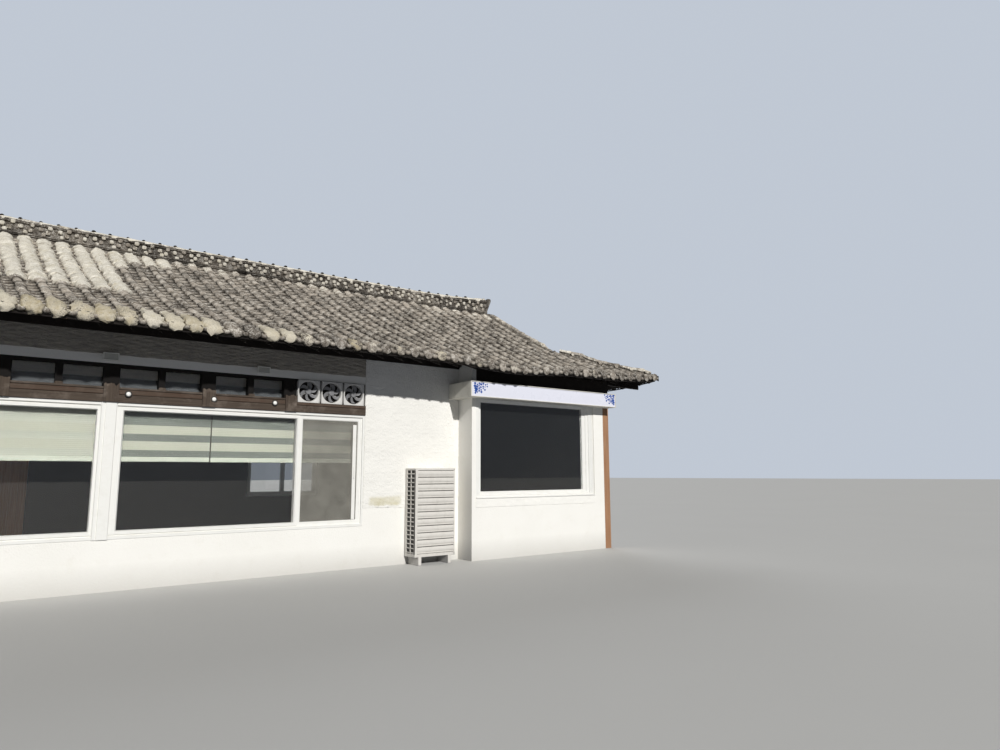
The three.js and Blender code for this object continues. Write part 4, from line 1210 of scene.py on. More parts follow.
def ridge_ends():
    """The chequer: four rows of round tile ends on both faces, each row moved along. An end is a
    slightly squared disc whose face bulges."""
    radius = 0.031
    pitch = sizes().row_pitch
    rng = np.random.default_rng(12)
    turn = np.linspace(0, 2 * np.pi, 12, endpoint=False) + 0.2
    edge = np.stack([np.cos(turn), np.sin(turn)], -1)
    edge /= (np.abs(edge) ** 4).sum(-1, keepdims=True) ** (1 / 4)
    parts = []
    for side in (-1, 1):
        for z, moved in ((5.232, 0.02), (5.274, 0.29), (5.316, -0.12), (5.358, 0.42)):
            x = (np.arange(-26, 27) + moved) * pitch - 1.071 % pitch
            x = x[np.abs(x) < RIDGE_CAP_END - 0.07]
            x = x + rng.normal(0, 0.007, len(x))
            depth = np.array([0.09, 0.142, 0.150])
            scale = np.array([1.0, 1.0, 0.72])
            size = rng.normal(1, 0.07, len(x))
            rings = np.zeros((len(x), 3, len(edge), 3))
            rings[..., 0] = x[:, None, None] + radius * size[:, None, None] * scale[:, None] * edge[:, 0]
            rings[..., 1] = side * (depth[:, None] + rng.normal(0, 0.004, (len(x), 1, 1)))
            high = z + radius * scale[:, None] * edge[:, 1] + rng.normal(0, 0.004, (len(x), 1, 1))
            rings[..., 2] = ridge_height(x[:, None, None], high)
            tone = rng.uniform(0.7, 1.0, (len(x), 1, 1))
            lime = rng.uniform(0.3, 0.8, (len(x), 1, 1)) * np.ones((1, 3, 1))
            parts.append(tubes(rings, tone=tone, mortar=lime, grime=0.42, board=0.0))
    return parts


def ridge_caps():
    """The row of half-round cap tiles along the ridge, with a lump of dark mortar at each joint."""
    pitch = sizes().cap_pitch
    rng = np.random.default_rng(13)
    starts = np.arange(-2.60 - 15 * pitch, RIDGE_CAP_END - 0.02, pitch)
    starts = starts[starts > -RIDGE_CAP_END]
    shape = np.array([(0.0, 0.90), (0.04, 1.0), (0.5, 0.95), (0.96, 0.88)])
    x = (starts[:, None] + pitch * shape[:, 0]).ravel()
    size = np.tile(shape[:, 1], len(starts))
    inside = np.abs(x) < RIDGE_CAP_END - 0.005
    x, size = x[inside], size[inside]
    turn = np.linspace(0, 2 * np.pi, COVER_ROUND, endpoint=False)
    up = np.where(np.sin(turn) > 0, np.sin(turn), 0.35 * np.sin(turn))
    rings = np.zeros((len(x), COVER_ROUND, 3))
    rings[..., 0] = x[:, None]
    rings[..., 1] = 0.094 * size[:, None] * np.cos(turn)
    rings[..., 2] = ridge_height(x[:, None], 5.398 + 0.074 * size[:, None] * up)
    rings[..., 2] += 0.0035 * ripple(rings, 0.09, 14)
    tone = np.repeat(rng.random(len(starts)), len(shape))[inside][:, None] * 0.5 + 0.5
    lime = np.repeat(rng.uniform(0.4, 0.95, len(starts)), len(shape))[inside][:, None]
    # Painted shade darkens the underside of each cap
    grime = np.broadcast_to(np.clip(0.4 - np.sin(turn), 0, 1) * 0.6, rings.shape[:2])
    parts = [tubes(rings, tone=tone, mortar=lime, grime=grime, board=0.0)]
    knobs = starts[np.abs(starts) < 6.1]
    profile = np.array([(0.036, -0.03), (0.035, 0.004), (0.027, 0.024), (0.009, 0.033)])
    for x_knob in knobs:
        size = rng.uniform(0.75, 1.1)
        top = ridge_height(x_knob, 5.466)
        knob = lathe(profile * size, (x_knob + rng.normal(0, 0.006), 0.0, top), 2, 9)
        knob[2].update(grime=np.full(len(knob[0]), 1.0), tone=np.full(len(knob[0]), 0.0))
        parts.append(knob)
    return parts


def ridge_stops():
    """A leaning end tile at each end of the ridge: a round-headed plate with a raised rim."""
    turn = np.linspace(0, np.pi, 15)
    edge = np.concatenate([np.stack([np.cos(turn), np.sin(turn)], -1), [[-1.0, -2.2], [1.0, -2.2]]])
    parts = []
    for side in (-1, 1):
        scale = np.array([0.86, 1.0, 1.0, 0.86, 0.72, 0.70])
        depth = np.array([-0.05, -0.035, 0.0, 0.012, 0.012, 0.0])
        rings = np.zeros((len(scale), len(edge), 3))
        z = 5.455 + 0.135 * scale[:, None] * edge[:, 1]
        rings[..., 0] = side * (6.42 + depth[:, None] + 0.42 * (z - 5.2))
        rings[..., 1] = 0.150 * scale[:, None] * edge[:, 0]
        rings[..., 2] = z
        parts.append(tubes(rings, tone=0.1, mortar=0.0, grime=0.55, board=0.0))
        x = side * np.array([6.30, 6.66])
        foot = bars([x.min(), -0.13, 5.06], [x.max(), 0.13, 5.20], 0.02)
        foot[2].update(tone=np.full(len(foot[0]), 0.3), grime=np.full(len(foot[0]), 0.5))
        parts.append(foot)
    return parts


def swept(path, side, outline, **values):
    """A closed outline of (aside, up) carried along a path; side is the level direction across it at
    each of its points."""
    outline = np.asarray(outline, float)
    rings = path[:, None] + side[:, None] * outline[..., 0, None]
    rings[..., 2] += outline[..., 1]
    return tubes(rings, **values)


def stepped_caps(path, side, radius, step, seed):
    """Half-round cap tiles down a path: rings that widen at each tile's lower end."""
    rng = np.random.default_rng(seed)
    gaps = np.linalg.norm(np.diff(path, axis=0), axis=1)
    run = np.concatenate([[0], np.cumsum(gaps)])
    starts = np.arange(0.0, run[-1] - 0.08, step)
    shape = np.array([(0.03, 0.84), (0.5, 0.93), (0.95, 1.05), (0.985, 0.96)])
    place = (starts[:, None] + step * shape[:, 0]).ravel()
    size = np.tile(shape[:, 1], len(starts))
    size = size * np.repeat(rng.normal(1, 0.03, len(starts)), len(shape))
    keep = place < run[-1]
    place, size = place[keep], size[keep]
    size[-1] = 0.4
    spot = np.stack([np.interp(place, run, path[:, i]) for i in range(3)], -1)
    way = np.stack([np.interp(place, run, side[:, i]) for i in range(3)], -1)
    way /= np.linalg.norm(way, axis=1, keepdims=True)
    spot = spot + way * np.repeat(rng.normal(0, 0.006, len(starts)), len(shape))[keep][:, None]
    turn = np.linspace(0, 2 * np.pi, 12, endpoint=False)
    outline_across = radius * size[:, None] * np.cos(turn)
    outline_up = radius * size[:, None] * np.where(np.sin(turn) > 0, np.sin(turn), 0.5 * np.sin(turn))
    rings = spot[:, None] + way[:, None] * outline_across[..., None]
    rings[..., 2] += outline_up
    rings[..., 2] += 0.005 * ripple(rings, 0.08, seed)
    tone = np.repeat(0.3 + 0.7 * rng.random(len(starts)), len(shape))[keep][:, None]
    lime = np.repeat(rng.uniform(0, 0.6, len(starts)), len(shape))[keep][:, None]
    # Painted shade darkens the underside of each cap
    grime = np.broadcast_to(np.clip(0.3 - np.sin(turn), 0, 1) * 0.6, rings.shape[:2])
    return tubes(rings, tone=tone, mortar=lime, grime=grime, board=0.0)


def corner_ridge(side_x, side_y, seed):
    """The ridge down a gable's verge and on along the hip: a low uneven bed of mortar and flat tiles
    with cap tiles on top, and round tile ends here and there in the hip's sides."""
    rng = np.random.default_rng(seed)
    verge = np.linspace(EAVE_Y - 0.17, GABLE_INSET - 0.02, 17)
    x, y = np.full(len(verge), VERGE_X), EAVE_Y - verge
    high_path = np.stack([x, y, cover_top(x, side_y * y, verge)], -1)
    hip = np.linspace(GABLE_INSET - 0.10, 0.11, 25)
    x, y = EAVE_X - hip, EAVE_Y - hip
    low_path = np.stack([x, y, cover_top(x, side_y * y, hip)], -1)
    low_path[:, 2] += 0.012 * ripple(low_path, 0.3, seed)
    flip = np.array([side_x, side_y, 1.0])
    level = np.array([math.sqrt(0.5), -math.sqrt(0.5), 0.0])
    verge_side = np.tile([1.0, 0.0, 0.0], (len(verge), 1))
    hip_side = np.tile(level, (len(hip), 1))
    common = {"tone": 0.4, "grime": 0.4, "mortar": 0.3, "board": 0.0}
    half_verge = np.array([(0.085, -0.13), (0.085, -0.05), (0.062, -0.012)])
    half_hip = np.array(
        [(0.10, -0.14), (0.10, -0.045), (0.082, -0.04), (0.082, -0.006), (0.096, 0.0), (0.066, 0.016)]
    )
    verge_bed, hip_bed = (
        np.concatenate([half, half[::-1] * [-1, 1]]) for half in (half_verge, half_hip)
    )
    parts = [
        swept(high_path * flip, verge_side * flip, verge_bed, **common),
        swept(low_path * flip, hip_side * flip, hip_bed, **common),
        stepped_caps(high_path * flip + [0, 0, -0.006], verge_side * flip, 0.062, 0.26, seed),
        stepped_caps(low_path * flip + [0, 0, 0.012], hip_side * flip, 0.066, 0.26, seed + 1),
    ]
    turn = np.linspace(0, 2 * np.pi, 10, endpoint=False)
    down = np.array([-math.sqrt(0.5), -math.sqrt(0.5), 0.393 * math.sqrt(0.5)])
    count = 6
    for across in (-1, 1):
        spots = np.linspace(0.22, GABLE_INSET - 0.25, count) + rng.normal(0, 0.03, count)
        centre = np.stack([EAVE_X - spots, EAVE_Y - spots, 0 * spots], -1)
        centre[:, 2] = cover_top(centre[:, 0], side_y * centre[:, 1], spots)
        centre[:, 2] += rng.normal(-0.006, 0.008, count)
        size = rng.uniform(0.75, 1.1, count)[:, None, None]
        rings = np.zeros((count, 3, len(turn), 3))
        for r, (scale, out) in enumerate([(1.0, 0.05), (1.0, 0.100), (0.75, 0.110)]):
            along = 0.044 * scale * size * np.cos(turn)[:, None]
            rings[:, r] = centre[:, None] + across * out * level + along * down
            rings[:, r, :, 2] += 0.036 * scale * size[..., 0] * np.sin(turn)
        lime = rng.uniform(0.3, 0.8, (count, 1, 1))
        parts.append(tubes(rings * flip, tone=0.8, mortar=lime, grime=0.0, board=0.0))
    return parts


class HANOK_OT_ridges(bpy.types.Operator):
    """Stack the main ridge with its chequer of tile ends, and the ridges down the verges and hips"""

    bl_idname = "hanok.ridges"
    bl_label = "Ridges"

    def execute(self, context):
        clay = finishes()["clay"]
        parts = [ridge_courses(), *ridge_ends(), *ridge_stops()]
        piece("main_ridge_courses", parts, clay, ["main_ridge"], crease=45)
        piece("main_ridge_caps", ridge_caps(), clay, crease=50)
        for i, (side_y, end) in enumerate([(-1, "front"), (1, "rear")]):
            for j, (side_x, hand) in enumerate([(-1, "left"), (1, "right")]):
                parts = corner_ridge(side_x, side_y, 20 + 4 * i + 2 * j)
                name = f"{end}_{hand}_hip_ridge"
                piece(f"{name}_tiles", parts, clay, [name], crease=45)
        return {"FINISHED"}


# Walls and timber


class HANOK_OT_walls(bpy.types.Operator):
    """Finish the plastered walls, their coats and ledges, the posts, beams, glass and the floor"""

    bl_idname = "hanok.walls"
    bl_label = "Walls and timber"

    def execute(self, context):
        made = finishes()
        names = list(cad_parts)
        coat_nodes(made["plaster"], [name for name in names if name.endswith("_wall")])
        coat_nodes(made["dark"], ["bay_beam"])
        # The transom's frame is blackened as painted shade of the eave
        coat_nodes(made["black"], ["transom_frame"])
        coat_nodes(made["bare"], ["transom_beam"])
        coat_nodes(made["red"], [name for name in names if name.endswith("_post")])
        coat_nodes(made["concrete"], ["floor_slab"])
        glass = ["left_window_glass", "right_window_glass", "rear_window_glass", "bay_glass"]
        coat_nodes(made["glass"], glass)
        coat_nodes(made["dusty"], ["transom_glass"])
        piece("upper_wall_raked_coat", [self.raked_coat()], made["scratched"], crease=80)
        piece("right_panel_coat", [self.panel_coat()], made["stained"], crease=80)
        piece("bay_sill_coat", [self.bay_coat()], made["plaster"], crease=60)
        return {"FINISHED"}

    def coat(self, x, rows, low, front):
        """A coat from its lower edge, low, up to the wall plate: a grid whose y is a function of its
        points, with its back bedded in the wall."""
        grid_x, share = np.meshgrid(x, np.linspace(0, 1, rows))
        height = low + (WALL_PLATE[0] + 0.01 - low) * share
        spot = np.stack([grid_x, 0 * grid_x, height], -1)
        face = np.stack([grid_x, front(spot), height], -1)
        back = face.copy()
        back[..., 1] = WALL_FACE + 0.004
        return tubes(np.concatenate([face, back[:, ::-1]], 1), ends="strip")

    def raked_coat(self):
        """A rough coat over the windows: its face is raked by level strokes, two stretched ripples,
        and its lower edge wanders a little."""
        x = np.linspace(-5.18, 2.112, 260)
        low = 3.035 + 0.002 * np.sin(x * 7) + 0.002 * np.sin(x * 23 + 1)

        def front(spot):
            spot = spot * [0.5, 1.0, 1.6]
            strokes = 0.0045 * ripple(spot, 0.07, 31)
            return WALL_FACE - 0.010 - strokes - 0.003 * ripple(spot, 0.03, 32)

        return self.coat(x, 34, low, front)

    def panel_coat(self):
        """The coat over the panel right of the windows, whose lower edge makes the ledge: shallow
        trowel waves and a fine stipple."""
        x = np.linspace(2.118, 3.949, 90)
        low = 0.93 - 0.011 * (x - x[0])

        def front(spot):
            stipple = 0.0028 * ripple(spot, 0.055, 33)
            return WALL_FACE - 0.008 - stipple - 0.003 * ripple(spot, 0.35, 34)

        return self.coat(x, 120, low, front)

    def bay_coat(self):
        """The band under the bay's window, proud of the wall below: a grid with trowel waves."""
        x = np.linspace(4.03, 6.915, 160)
        z = np.linspace(0.895, 1.038, 12)
        grid_x, height = np.meshgrid(x, z)
        spot = np.stack([grid_x, 0 * grid_x, height], -1)
        front = BAY_FACE - 0.008 - 0.002 * ripple(spot, 0.12, 35)
        return sheet_body(x, z, front, 0.012)


# Transom


class HANOK_OT_transom(bpy.types.Operator):
    """Add the weathered post feet, the rail and the small round lights over the windows"""

    bl_idname = "hanok.transom"
    bl_label = "Transom"

    def execute(self, context):
        made = finishes()
        piece("transom_post_feet", self.post_feet(), made["bare_upright"])
        piece("transom_rail", self.rails(), made["rail"])
        piece("transom_rail_cap", self.rail_caps(), made["bare"])
        piece("beam_light_rings", self.lights(ring=True), made["dark_plastic"])
        piece("beam_light_lenses", self.lights(ring=False), made["lens"])
        return {"FINISHED"}

    def post_feet(self):
        """The bare foot of each thick post, split off unevenly at the top: an upright outline whose
        top edge is a ripple, carried back to the beam."""
        parts = []
        for i, x in enumerate(TRANSOM_POSTS):
            half = THICK_POST / 2 - 0.006
            edge = np.linspace(half, -half, 12)
            ragged = 2.655 + 0.022 * ripple(np.stack([edge * 9 + i, edge * 0, edge * 0], -1), 0.5, 40 + i)
            outline = [(x - half, HEAD + 0.002), (x + half, HEAD + 0.002), *zip(x + edge, ragged)]
            parts.append(extrusion(outline, 1, -2.698, RAIL_BACK))
        thin = (TRANSOM_POSTS[1:] + TRANSOM_POSTS[:-1]) / 2
        parts.append(bar_row(thin - 0.045, thin + 0.045, (-2.694, -2.632), (2.585, 2.638), 0.012))
        return parts

    def spans(self):
        """Left and right ends of the rail's lengths between the thick posts."""
        left = TRANSOM_POSTS[:-1] + THICK_POST / 2 - 0.004
        right = TRANSOM_POSTS[1:] - THICK_POST / 2 + 0.004
        return left, right

    def rails(self):
        """The rail between the thick posts, and its thinner end under the fans."""
        rail = bar_row(*self.spans(), (-2.688, RAIL_BACK), (RAIL_FOOT, RAIL_TOP), 0.005)
        return [rail, bars([0.965, -2.690, 2.515], [2.10, -2.660, 2.556], 0.004)]

    def rail_caps(self):
        """The weathered strip on the rail."""
        depth, height = (-2.700, RAIL_BACK + 0.002), (RAIL_TOP + 0.001, RAIL_TOP + 0.030)
        return [bar_row(*self.spans(), depth, height, 0.006)]

    def lights(self, ring):
        """Small round lights: a turned ring, or the domed lens inside it."""
        outer = [(0.043, 0.0), (0.043, -0.010), (0.038, -0.014), (0.030, -0.014), (0.028, 0.0)]
        lens = [(0.029, 0.0), (0.029, -0.012), (0.024, -0.019), (0.013, -0.023), (0.003, -0.024)]
        places = [(x, -2.688, 2.522) for x in BEAM_LIGHT_X]
        return [lathe(outer if ring else lens, place, 1, 20) for place in places]


# Windows


def level_span(side, near, a, b):
    """Left and right ends of a span that starts a and stops b from the column."""
    return (near + a, near + b) if side > 0 else (near - b, near - a)


def near_member(side):
    """Width of the member beside the column: narrower on the left window."""
    return 0.092 if side > 0 else 0.042


def wide_window(side, near):
    """The parts of one wide window: outer frame, inner frame, mullion and vent sash, each a mitred
    profile, and the vent's upright handle bar. Sizes are measured from the column; side is 1 where
    the vent is at the right."""
    member = near_member(side)

    def rect(a, b, z0, z1):
        return (*level_span(side, near, a, b), z0, z1)

    def widths(inner, outer, bottom, top):
        return (inner, outer, bottom, top) if side > 0 else (outer, inner, bottom, top)

    outer_profile = [
        (0, FRAME_BACK),
        (0, FRAME_FACE + 0.004),
        (0.06, FRAME_FACE),
        (0.62, FRAME_FACE),
        (0.66, FRAME_FACE + 0.005),
        (0.68, FRAME_FACE + 0.026),
        (1.0, FRAME_FACE + 0.028),
        (1.0, FRAME_BACK),
    ]
    inner_profile = [
        (0, -2.55),
        (0, -2.634),
        (0.05, -2.640),
        (0.84, -2.640),
        (0.90, -2.634),
        (1.0, -2.624),
        (1.0, -2.55),
    ]
    vent_profile = [
        (0, -2.543),
        (0, -2.619),
        (0.07, -2.623),
        (0.80, -2.623),
        (0.88, -2.618),
        (1.0, -2.615),
        (1.0, -2.543),
    ]
    outer = rect(0.0003, WINDOW_WIDTH - 0.0003, SILL + 0.0003, HEAD - 0.0003)
    inner = rect(0.003, 2.480, SILL + 0.056, HEAD - 0.060)
    x0, x1, z0, z1 = rect(2.436, 2.4875, SILL + 0.05, HEAD - 0.05)
    front = -2.628
    parts = [
        border(outer, widths(0.010, 0.056, 0.060, 0.062), outer_profile),
        border(inner, widths(member - 0.003, 0.040, 0.049, 0.045), inner_profile),
        extrusion([(x0, FRAME_BACK), (x0, front), (x1, front), (x1, FRAME_BACK)], 2, z0, z1),
    ]
    sash = rect(*VENT, *VENT_LEVELS)
    bar = rect(3.370, 3.430, VENT_LEVELS[0] + 0.055, 2.25)
    upright = bars([bar[0], -2.630, bar[2]], [bar[1], -2.6145, bar[3]], 0.004, axis=2)
    grip = rect(3.388, 3.410, 1.40, 1.58)
    pull = bars([grip[0], -2.642, grip[2]], [grip[1], -2.629, grip[3]], 0.003, axis=2)
    return parts, [border(sash, (VENT_MEMBER,) * 4, vent_profile), upright, pull]


def hung_cloth(x0, x1, seed):
    """A hung blind cloth: a thin sheet whose face bows by a slow ripple of a few millimetres. down
    is the distance under its rail, for the bands."""
    x = np.linspace(x0, x1, 40)
    z = np.linspace(CLOTH_FOOT, CLOTH_TOP, 60)
    grid_x, grid_z = np.meshgrid(x, z)
    spot = np.stack([grid_x * 0.6, 0 * grid_x, grid_z * 0.5], -1)
    front = CLOTH_Y - 0.0022 * ripple(spot, 0.5, seed)
    down = CLOTH_TOP - grid_z
    return sheet_body(x, z, front, CLOTH_THICK, down=np.concatenate([down, down[:, ::-1]], 1))


class HANOK_OT_windows(bpy.types.Operator):
    """Make the wide front windows, the clad column, the blinds, the insect screens and the rear window"""

    bl_idname = "hanok.windows"
    bl_label = "Windows and blinds"

    def execute(self, context):
        made = finishes()
        for label, side, near in (("left", -1, COLUMN[0]), ("right", 1, COLUMN[1])):
            joinery, sash = wide_window(side, near)
            piece(f"{label}_window_joinery", joinery, made["upvc"], [f"{label}_window_frame"])
            piece(f"{label}_vent_joinery", sash, made["upvc"], [f"{label}_vent_sash"])
            self.blinds(made, label, side, near)
            self.screen(made, label, side, near)
        piece("clad_column", self.column(), made["upvc"], ["window_column"])
        piece("rear_window_joinery", self.rear_window(), made["upvc"], ["rear_window_frame"])
        return {"FINISHED"}

    def blinds(self, made, label, side, near):
        """A head rail with a fascia, three cloths and their bottom rails."""
        member = near_member(side)
        x0, x1 = level_span(side, near, member - 0.028, 3.498)
        fascia = bars([x0, -2.5325, 2.3305], [x1, -2.4735, 2.3945], 0.006)
        rail = piece(f"{label}_blind_rail", [fascia], made["upvc"], [f"{label}_blinds"])
        cloth_finish = made["blind"] if side > 0 else made["closed_blind"]
        widths = ((member - 0.013, 1.221), (1.239, 2.459), (2.509, 3.479))
        for number, (a, b) in enumerate(widths, 1):
            start, stop = level_span(side, near, a, b)
            part = hung_cloth(start, stop, 50 + number)
            bar = bars([start - 0.001, -2.514, 1.6405], [stop + 0.001, -2.498, 1.706], 0.006)
            foot = piece(f"{label}_blind_bar_{number}", [bar], made["blind_bar"])
            cloth = piece(f"{label}_blind_cloth_{number}", [part], cloth_finish, crease=80)

    def screen(self, made, label, side, near):
        """The insect mesh over the vent: a thin sheet stretched in the sash, slack by a millimetre."""
        low, high = VENT_LEVELS[0] + VENT_MEMBER, VENT_LEVELS[1] - VENT_MEMBER
        x0, x1 = level_span(side, near, VENT[0] + VENT_MEMBER + 0.0003, VENT[1] - VENT_MEMBER - 0.0003)
        x, z = np.linspace(x0, x1, 24), np.linspace(low + 0.0003, high - 0.0003, 30)
        grid_x, grid_z = np.meshgrid(x, z)
        spot = np.stack([grid_x, 0 * grid_x, grid_z], -1)
        part = sheet_body(x, z, -2.6100 - 0.001 * ripple(spot, 0.4, 57), 0.0008)
        name = f"{label}_insect_mesh"
        mesh = piece(name, [part], made["mesh"], [f"{label}_insect_screen"], crease=80)

    def column(self):
        """The clad column: a plan outline with an edge strip at each side, set back behind a groove."""
        x0, x1 = COLUMN
        front = -2.6695
        outline = [
            (x0 + 0.0005, -2.4855),
            (x0 + 0.0005, front + 0.009),
            (x0 + 0.004, front + 0.005),
            (x0 + 0.040, front + 0.005),
            (x0 + 0.042, front + 0.014),
            (x0 + 0.048, front + 0.014),
            (x0 + 0.050, front),
            (x1 - 0.008, front),
            (x1 - 0.0005, front + 0.008),
            (x1 - 0.0005, -2.4855),
        ]
        return [extrusion(outline, 2, SILL + 0.0005, HEAD - 0.0005)]

    def rear_window(self):
        """A plain two-pane window: an outer frame, two sashes and the mullion between them."""
        outer_profile = [(0, 2.555), (0, 2.646), (0.1, 2.650), (0.9, 2.650), (1, 2.646), (1, 2.555)]
        sash_profile = [(0, 2.556), (0, 2.634), (0.1, 2.638), (0.8, 2.638), (1, 2.625), (1, 2.556)]
        parts = [border(REAR_WINDOW, (0.048,) * 4, outer_profile)]
        for x0, x1 in ((1.946, 2.702), (2.698, 3.454)):
            parts.append(border((x0, x1, 1.046, 2.154), (0.046,) * 4, sash_profile))
        return parts


# Fans


class HANOK_OT_fans(bpy.types.Operator):
    """Mould the three extractor fans: square housings with a bell mouth, and swept rotors"""

    bl_idname = "hanok.fans"
    bl_label = "Extractor fans"

    def execute(self, context):
        made = finishes()
        for number, x in enumerate(FAN_X, 1):
            centre = np.array([x, FAN_Y, FAN_Z])
            housing = [shifted(part, centre) for part in self.housing()]
            node = f"fan_{number}_housing"
            piece(f"fan_{number}_case", housing, made["fan"], [node])
            blades = [shifted(part, centre) for part in self.rotor()]
            node = f"fan_{number}_rotor"
            piece(f"fan_{number}_blades", blades, made["blade"], [node], body=f"fan_{number}")
        return {"FINISHED"}

    def housing(self):
        """A ring closed on itself: at each angle a profile goes from the square's edge over its face,
        down the bell mouth and back along the duct. Struts and the motor stand behind."""
        turn = np.linspace(0, 2 * np.pi, 48, endpoint=False)
        c, s = np.cos(turn), np.sin(turn)
        power = 14
        square = FAN_HALF / (np.abs(c) ** power + np.abs(s) ** power) ** (1 / power)
        profile = [
            (square, 0.034),
            (square, -0.026),
            (square - 0.006, -0.034),
            (np.minimum(square - 0.012, 0.166), -0.034),
            (0.160 + 0 * c, -0.031),
            (0.1545 + 0 * c, -0.022),
            (FAN_DUCT + 0 * c, -0.008),
            (FAN_DUCT + 0 * c, 0.034),
        ]
        rings = np.zeros((len(turn), len(profile), 3))
        for j, (radius, depth) in enumerate(profile):
            rings[:, j, 0] = radius * c
            rings[:, j, 1] = depth
            rings[:, j, 2] = radius * s
        parts = [tubes(rings, ends="none")]
        parts.append(lathe([(0.045, 0.033), (0.045, 0.009), (0.040, 0.0065)], (0, 0, 0), 1, 24))
        for i in range(3):
            angle = math.pi / 2 + i * 2 * math.pi / 3
            points, faces, values = bars([0.03, 0.021, -0.008], [0.156, 0.033, 0.008], 0.002)
            turned = points @ np.array(Matrix.Rotation(-angle, 3, "Y")).T
            parts.append((turned, faces, values))
        rim = [(0, -0.026), (0, -0.035), (1, -0.035), (1, -0.026)]
        parts.append(border((-FAN_HALF, FAN_HALF, -FAN_HALF, FAN_HALF), (0.009,) * 4, rim))
        return parts

    def rotor(self):
        """A domed hub and six swept blades: along a blade its angle leads with the radius, and its
        pitch flattens towards the tip."""
        hub = [(0.046, 0.002), (0.046, -0.014), (0.042, -0.020), (0.030, -0.0215), (0.010, -0.022)]
        parts = [lathe(hub, (0, 0, 0), 1, 28)]
        share = np.linspace(0, 1, 9)
        radius = ROTOR_HUB + (ROTOR_TIP - ROTOR_HUB) * share
        across = np.linspace(-1, 1, 7)
        for i in range(6):
            middle = i * math.pi / 3 + 0.55 * share**1.5
            half = (0.36 - 0.10 * share) * 0.95
            angle = middle[:, None] + half[:, None] * across
            lift = -0.009 + (0.0085 - 0.002 * share[:, None]) * across
            upper = np.stack([radius[:, None] * np.cos(angle), lift, radius[:, None] * np.sin(angle)], -1)
            lower = upper + np.array([0, 0.002, 0])
            parts.append(tubes(np.concatenate([upper, lower[:, ::-1]], 1), ends="strip"))
        return parts


# Bay and light box


class HANOK_OT_bay(bpy.types.Operator):
    """Make the bay's window frame and the light box over it"""

    bl_idname = "hanok.bay"
    bl_label = "Bay and light box"

    def execute(self, context):
        made = finishes()
        piece("bay_joinery", self.frame(), made["upvc"], ["bay_frame"])
        piece("light_box_face", self.face(), made["sign"])
        piece("light_box_case", self.case(), made["sign_case"], ["sign_box"])
        piece("light_box_corners", self.corners(), made["ornament"])
        return {"FINISHED"}

    def frame(self):
        """A stepped frame round the bay's pane: an outer casing, then a sash that lies back."""
        widths = (0.1394, 0.2694, 0.1197, 0.0797)
        profile = [
            (0, -2.952),
            (0, -3.046),
            (0.02, -3.050),
            (0.44, -3.050),
            (0.46, -3.044),
            (0.48, -3.030),
            (0.70, -3.026),
            (0.72, -3.014),
            (0.94, -3.012),
            (0.985, -3.004),
            (1.0, -2.999),
            (1.0, -2.952),
        ]
        sill = bars([4.05, -3.088, 1.040], [6.915, -3.045, 1.062], 0.006)
        return [border(BAY_WINDOW, widths, profile), sill]

    def face(self):
        """The lit face: a panel set into the case with a softly bowed front."""
        x0, x1, z0, z1 = LIGHT_BOX
        x, z = np.linspace(x0, x1 + 0.002, 60), np.linspace(z0 + 0.008, z1 - 0.006, 8)
        grid_z = np.meshgrid(x, z)[1]
        bow = 0.003 * (1 - ((grid_z - 2.907) / 0.119) ** 2)
        return [sheet_body(x, z, LIGHT_FACE - bow, 0.02)]

    def case(self):
        """The tray behind the face: trims round it, returns, soffit and top, and the shallow box that
        runs back to the wall at the left."""
        x0, x1, z0, z1 = LIGHT_BOX
        front = [(0, -3.346), (0.15, -3.349), (1, -3.349), (1, -3.32), (0.5, -3.32)]
        trim = [(0, -3.10), *front, (0.5, -3.10)]
        rect = (x0 - 0.018, x1 + 0.018, z0 - 0.005, z1 + 0.005)
        parts = [border(rect, (0.020, 0.018, 0.014, 0.012), trim)]
        parts.append(bars([x0, -3.33, z0], [x1, LIGHT_BOX_BACK, z1], 0.003))
        parts.append(bars([3.731, -3.325, 2.772], [3.948, -2.657, 3.038], 0.004, axis=1))
        lip = bars([3.7305, -3.10, 2.7705], [3.742, -2.657, 2.80], 0.002, axis=1)
        return [*parts, lip]

    def corners(self):
        """Plain blue lozenges scattered in from two corners, thinning out: thin diamonds on the face."""
        rng = np.random.default_rng(61)
        parts = []
        for corner_x, way in ((3.80, 1), (7.255, -1)):
            for column in range(7):
                for row in range(5 - column // 2):
                    x = corner_x + way * (0.022 + 0.042 * column + rng.normal(0, 0.004))
                    z = 3.004 - 0.043 * row - (0.021 if column % 2 else 0) + rng.normal(0, 0.004)
                    size = (0.028 - 0.0018 * column) * rng.uniform(0.7, 1.15)
                    if z < 2.83:
                        continue
                    outline = [(x - size, z), (x, z - size), (x + size, z), (x, z + size)]
                    parts.append(extrusion(outline, 1, LIGHT_FACE - 0.0055, LIGHT_FACE + 0.004))
        return parts


# Fittings


